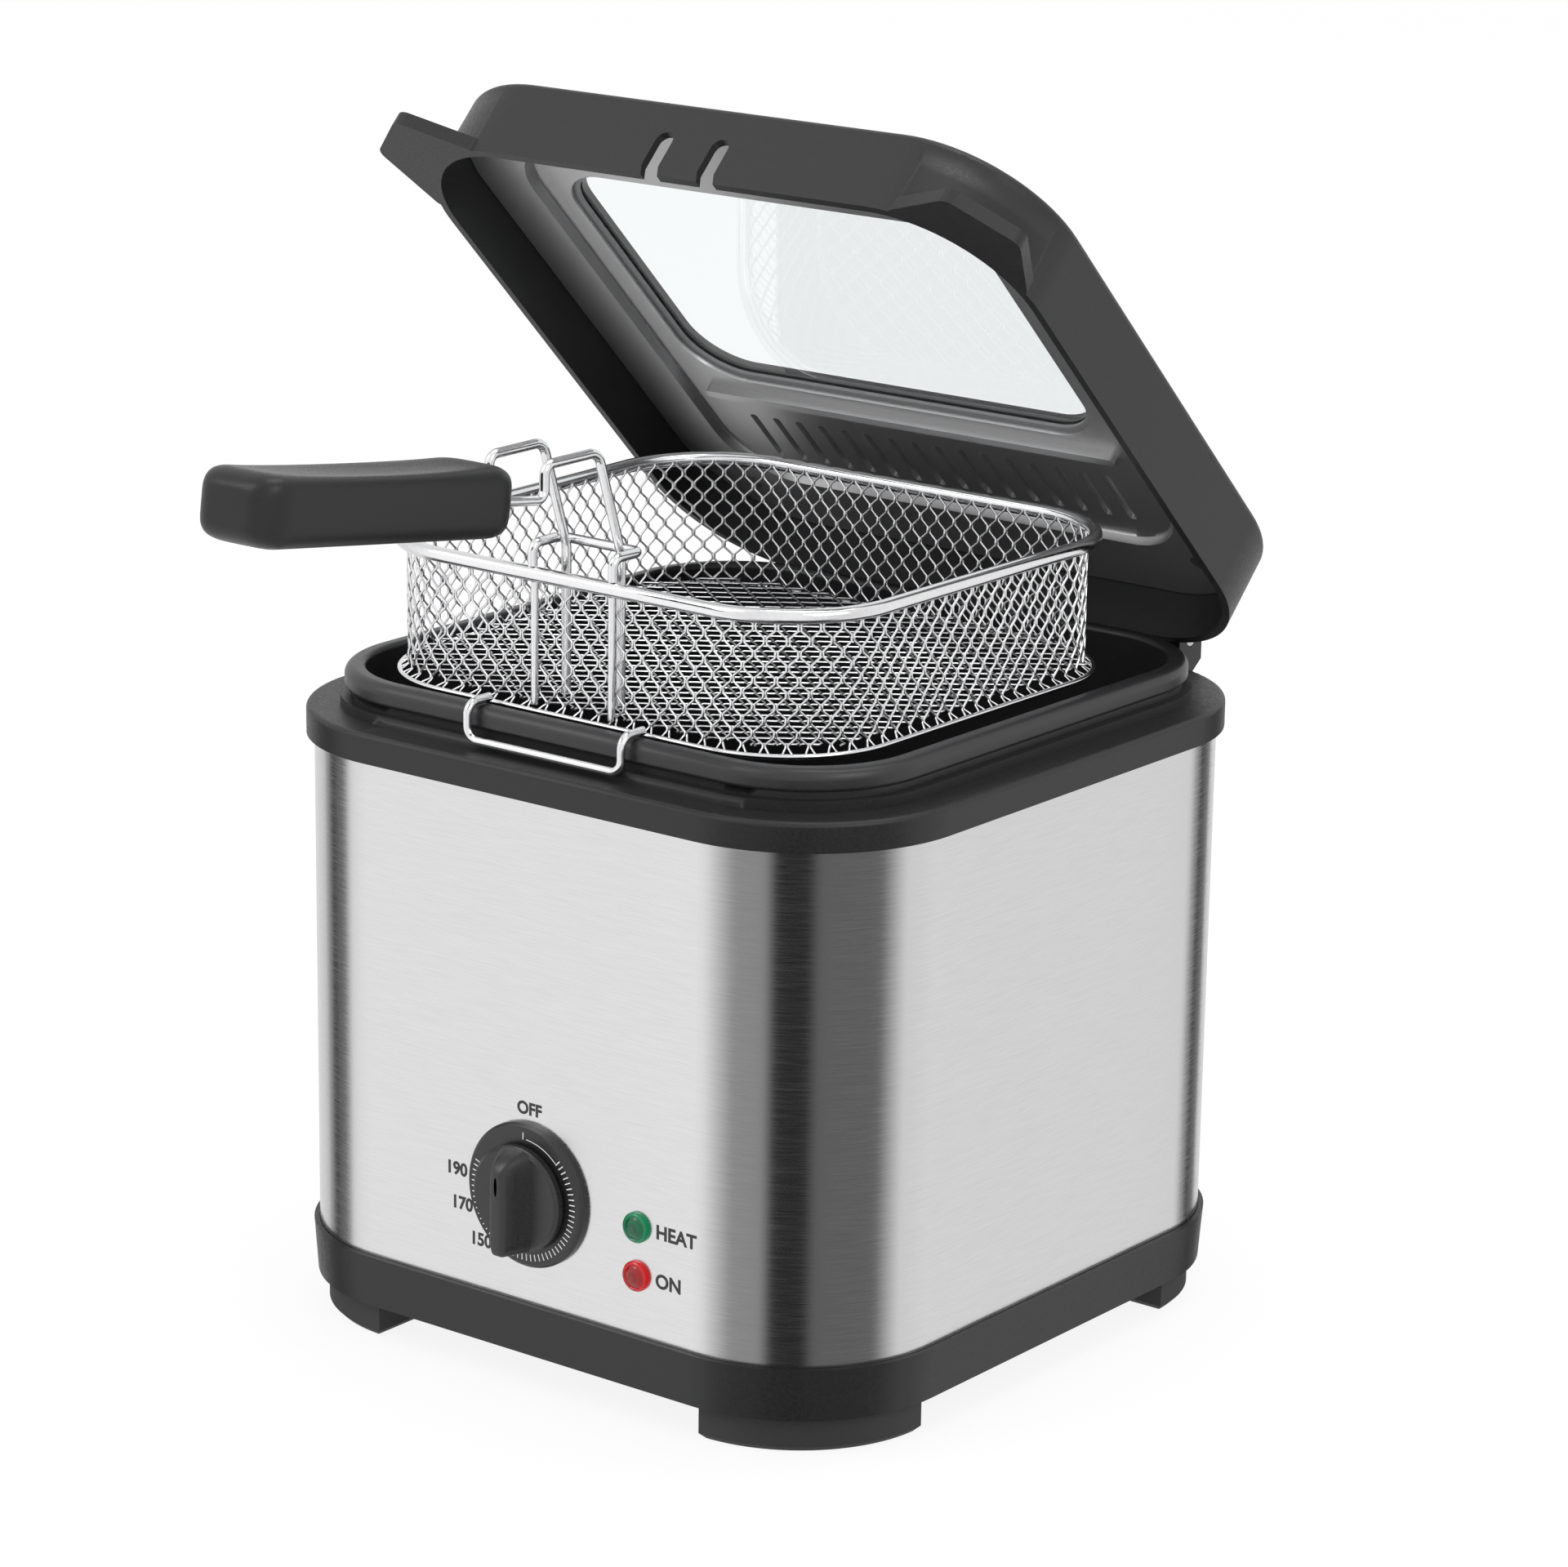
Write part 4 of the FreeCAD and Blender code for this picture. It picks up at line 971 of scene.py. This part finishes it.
    def lamps(self) -> None:
        """Domed lenses with a ring round the dome."""
        tints = (("green", (0.004, 0.20, 0.08), 0.05), ("red", (0.52, 0.012, 0.014), 0.12))
        for colour, tint, glow in tints:
            name = f"lamp_lens_{colour}"
            low, high = node_box(name)
            centre = (low + high) / 2
            radius = (high.x - low.x) / 2
            wall, front = self.wall, low.y
            shoulder = [(1.0, 0.0), (1.0, 0.8), (0.93, 1.3), (0.80, 1.5), (0.74, 1.3), (0.66, 1.5)]
            outline = [(self.lens_stem, wall + self.lens_deep), (self.lens_stem, wall)]
            outline += [(radius * share, wall - proud * MM) for share, proud in shoulder]
            outline += [(radius * 0.45, front + 0.25 * MM), (radius * 0.2, front + 0.05 * MM),
                        (self.pole, front)]
            item = turned(f"{name}_dome", outline, centre, KNOB, self.lens_sides)
            dress(item.data, LampLens(f"{colour}_lamp_lens", tint, glow).material(centre))
            attach(item, Body.ROOT, f"lens_{colour}", name)

    def build(self) -> None:
        """Make the controls."""
        finished_node("dial_ring", KNOB, Body.ROOT, "black_plastic")
        self.knob()
        self.ticks()
        self.words()
        self.lamps()


@dataclass
class DrainHook:
    """Bent wire over the front of the pot's rim."""

    wire: float = 1.2 * MM
    bend: float = 3.5 * MM
    sides: int = 18

    def build(self) -> None:
        """Make the hook along its bends."""
        low, high = node_box("drain_hook")
        half = high.x - self.wire
        bar_y = low.y + self.wire
        bar_z = low.z + self.wire
        over = high.z - self.wire
        points = [(-half, high.y, over), (-half, bar_y, over), (-half, bar_y, bar_z), (half, bar_y, bar_z),
                  (half, bar_y, over), (half, high.y, over)]
        route = bent_route(points, [self.bend] * 4)
        item = wire_piece("drain_hook_wire", [(route, False)], self.wire, self.sides, CHROME)
        attach(item, Body.ROOT, "chrome_wire", "drain_hook")


@dataclass
class Casing:
    """Pieces of the body, lid and heater that keep their solid's shape."""

    finishes: dict[str, tuple[Finish, Body, str]] = field(default_factory=lambda: {
        "outer_shell": (STEEL, Body.ROOT, "steel_shell"),
        "base_tray": (PLASTIC, Body.ROOT, "black_plastic"),
        "top_collar": (PLASTIC, Body.ROOT, "black_plastic"),
        "oil_pot": (COATING, Body.ROOT, "pot_coating"),
        "cord_gland": (PLASTIC, Body.ROOT, "black_plastic"),
        "hinge_pins": (SCREW, Body.ROOT, "screw_steel"),
        "lid_cover": (PLASTIC, Body.LID, "black_plastic"),
        "lid_inner_panel": (PANEL, Body.LID, "lid_lining"),
        "window_gasket": (SILICONE, Body.LID, "gasket_rubber"),
        "lid_screws": (SCREW, Body.LID, "screw_steel"),
        "steam_filter": (ALLOY, Body.LID, "filter_mesh"),
        **{f"foot_{place}": (RUBBER, Body.ROOT, "foot_rubber")
           for place in ("front_left", "front_right", "rear_left", "rear_right")},
    })
    hidden: dict[str, Finish] = field(default_factory=lambda: {
        "tie_screws": SCREW, "thermostat_body": PALE, "heater_plate": ALLOY, "heating_element": SCREW,
        "sensor_bulb": SCREW, "heat_shield": ALLOY, "terminal_block": PALE, "thermostat_shaft": SCREW,
    })

    def build(self) -> None:
        """Dress the casing, the window and the inner pieces."""
        for name, (finish, body, slot) in self.finishes.items():
            finished_node(name, finish, body, slot)
        for name, finish in self.hidden.items():
            dress(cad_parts[name].data, finish.material())
        dress(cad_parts["lid_window"].data, GLASS.material())


@dataclass
class Studio:
    """Pale floor, soft lamps, surroundings and camera."""

    azimuth: float = math.radians(37.889)
    elevation: float = math.radians(17.287)
    roll: float = math.radians(0.791)
    distance: float = 1.4906
    aim_up: float = 0.1045
    lens: float = 124.25
    sensor: float = 36.0
    far_clip: float = 20.0
    shift: tuple[float, float] = (0.0118, 0.0942)
    lamp_aim_up: float = 0.15
    floor_reach: float = 12.0
    floor_shade: float = 0.92
    floor_rough: float = 0.9
    floor_white: float = 0.88
    surround_light: float = 0.85
    sleeve_bend: float = 44.0 * MM
    card_far: float = 69.0 * MM
    card_spread: float = 0.3
    card_fade: float = 15.0
    pale_band: tuple[float, float, float] = (5.0, 20.0, 0.35)
    black_band: tuple[float, float, float] = (25.0, 40.0, 0.02)
    grey_band: tuple[float, float, float] = (45.0, 75.0, 0.15)
    card_low: float = -60.0 * MM
    card_top: float = 172.0 * MM

    def camera(self) -> None:
        """Camera at the photo's angle."""
        data = bpy.data.cameras.new("studio_camera")
        data.lens = self.lens
        data.sensor_width = self.sensor
        data.shift_x, data.shift_y = self.shift
        data.clip_end = self.far_clip
        item = new_object("studio_camera", data)
        flat = math.cos(self.elevation)
        away = Vector((math.sin(self.azimuth) * flat, -math.cos(self.azimuth) * flat,
                       math.sin(self.elevation)))
        aim = Vector((0.0, CENTRE_BACK, self.aim_up))
        turn = (-away).to_track_quat("-Z", "Y").to_matrix().to_4x4()
        stand = Matrix.Translation(aim + away * self.distance)
        item.matrix_world = stand @ turn @ Matrix.Rotation(self.roll, 4, "Z")
        bpy.context.scene.camera = item

    def lamp(self, name: str, place: Point, size: float, power: float) -> None:
        """Soft square lamp aimed at the fryer."""
        data = bpy.data.lights.new(name, "AREA")
        data.size = size
        data.energy = power
        item = new_object(name, data)
        item.location = place
        aim = Vector((0.0, CENTRE_BACK, self.lamp_aim_up)) - Vector(place)
        item.rotation_euler = aim.to_track_quat("-Z", "Y").to_euler()
        item.visible_camera = False

    def surroundings(self) -> None:
        """White to the camera and through glass, and near white with soft changes in reflections."""
        world = bpy.data.worlds.new("studio_world")
        bpy.context.scene.world = world
        world.use_nodes = True
        build = NodeBuilder(world.node_tree)
        world.node_tree.nodes.clear()
        where = build.add("ShaderNodeTexCoord")
        turn = build.add("ShaderNodeMapping", vector_type="POINT")
        put(turn, {"Rotation": (0.0, 0.0, math.radians(90.0))})
        around = build.add("ShaderNodeTexGradient", gradient_type="RADIAL")
        ramp = build.add("ShaderNodeValToRGB")
        build.link(where, "Generated", turn, "Vector")
        build.link(turn, "Vector", around, "Vector")
        build.link(around, "Fac", ramp, "Fac")
        shades = [(-180.0, 1.0), (-140.0, 1.1), (-95.0, 0.95), (-40.0, 1.35), (0.0, 1.1), (45.0, 1.2),
                  (90.0, 0.95), (140.0, 1.15), (179.0, 1.0)]
        ramp.color_ramp.elements.remove(ramp.color_ramp.elements[1])
        for number, (angle, shade) in enumerate(shades):
            place = (angle + 180.0) / 360.0
            stop = ramp.color_ramp.elements[0] if number == 0 else ramp.color_ramp.elements.new(place)
            stop.position = place
            stop.color = (shade, shade, shade, 1.0)
        path = build.add("ShaderNodeLightPath")
        soft_light = build.add("ShaderNodeBackground")
        put(soft_light, {"Strength": self.surround_light})
        white = build.add("ShaderNodeBackground")
        put(white, {"Color": (1.0, 1.0, 1.0, 1.0)})
        mix = build.add("ShaderNodeMixShader")
        out = build.add("ShaderNodeOutputWorld")
        seen = build.math("MAXIMUM", path.outputs["Is Camera Ray"], path.outputs["Is Transmission Ray"])
        build.link(ramp, "Color", soft_light, "Color")
        build.join(seen, mix.inputs["Fac"])
        build.join(soft_light.outputs["Background"], mix.inputs[1])
        build.join(white.outputs["Background"], mix.inputs[2])
        build.link(mix, "Shader", out, "Surface")

    def corner_cards(self) -> None:
        """Slim cards close to the corners, seen only in reflections, that draw bands on the steel."""
        reach = (SHELL_HIGH.x - SHELL_LOW.x) / 2 - self.sleeve_bend
        stops = [(self.pale_band[0] - self.card_fade, 1.0)]
        for start, end, shade in (self.pale_band, self.black_band, self.grey_band):
            stops += [(start, shade), (end, shade)]
        stops.append((self.grey_band[1] + self.card_fade, 1.0))
        spots, shades, faces = [], [], []
        for quarter in range(4):
            turn = Matrix.Rotation(quarter * math.pi / 2, 4, "Z")
            first = len(spots)
            spread = 1.0 if quarter == 0 else self.card_spread
            for stop, shade in stops:
                angle = math.radians(45.0 + (stop - 45.0) * spread)
                side = Vector((math.sin(angle), -math.cos(angle), 0.0)) * self.card_far
                place = turn @ (side + Vector((reach, -reach, 0.0))) + Vector((0.0, CENTRE_BACK, 0.0))
                spots += [(place.x, place.y, self.card_low), (place.x, place.y, self.card_top)]
                shades += [shade, shade]
            faces += [(first + 2 * n, first + 2 * n + 2, first + 2 * n + 3, first + 2 * n + 1)
                      for n in range(len(stops) - 1)]
        mesh = bpy.data.meshes.new("corner_cards")
        mesh.from_pydata(spots, [], faces)
        mesh.attributes.new("shade", "FLOAT", "POINT").data.foreach_set("value", shades)
        made, build, _ = open_material("corner_card")
        glow = build.add("ShaderNodeEmission")
        given = build.add("ShaderNodeAttribute", attribute_name="shade")
        build.link(given, "Fac", glow, "Strength")
        build.join(glow.outputs["Emission"], made.node_tree.nodes["Material Output"].inputs["Surface"])
        mesh.materials.append(made)
        item = new_object("studio_corner_cards", mesh)
        for ray in ("camera", "diffuse", "transmission", "shadow"):
            setattr(item, f"visible_{ray}", False)

    def floor(self) -> None:
        """Plain pale floor that keeps a faint shadow."""
        mesh = bpy.data.meshes.new("studio_floor")
        reach = self.floor_reach
        corners = [(-reach, -reach, 0), (reach, -reach, 0), (reach, reach, 0), (-reach, reach, 0)]
        mesh.from_pydata(corners, [], [(0, 1, 2, 3)])
        item = new_object("studio_floor", mesh)
        item.visible_glossy = False
        made, build, shader = open_material("pale_floor")
        put(shader, {"Base Color": (*[self.floor_shade] * 3, 1.0), "Roughness": self.floor_rough})
        glow = build.add("ShaderNodeEmission")
        path = build.add("ShaderNodeLightPath")
        mix = build.add("ShaderNodeMixShader")
        out = made.node_tree.nodes["Material Output"]
        seen = build.math("MAXIMUM", path.outputs["Is Camera Ray"], path.outputs["Is Transmission Ray"])
        build.join(build.math("MULTIPLY", seen, self.floor_white), mix.inputs["Fac"])
        build.join(shader.outputs["BSDF"], mix.inputs[1])
        build.join(glow.outputs["Emission"], mix.inputs[2])
        build.link(mix, "Shader", out, "Surface")
        mesh.materials.append(made)

    def build(self) -> None:
        """Make the studio."""
        self.camera()
        self.surroundings()
        self.floor()
        self.corner_cards()
        self.lamp("key_lamp", (-1.2, -1.6, 2.0), 1.4, 16.0)
        self.lamp("side_lamp", (2.0, -0.4, 1.5), 1.2, 11.0)
        self.lamp("top_lamp", (0.2, 0.6, 2.4), 1.2, 14.0)
        bpy.context.scene.view_settings.view_transform = "Standard"


def main() -> None:
    """Build every sub-assembly."""
    logging.basicConfig(level=logging.INFO)
    for part in (Studio(), Casing(), Controls(), DrainHook(), Basket()):
        part.build()
        LOG.info("built %s", type(part).__name__)
    bpy.context.view_layer.update()


if __name__ == "__main__":
    main()
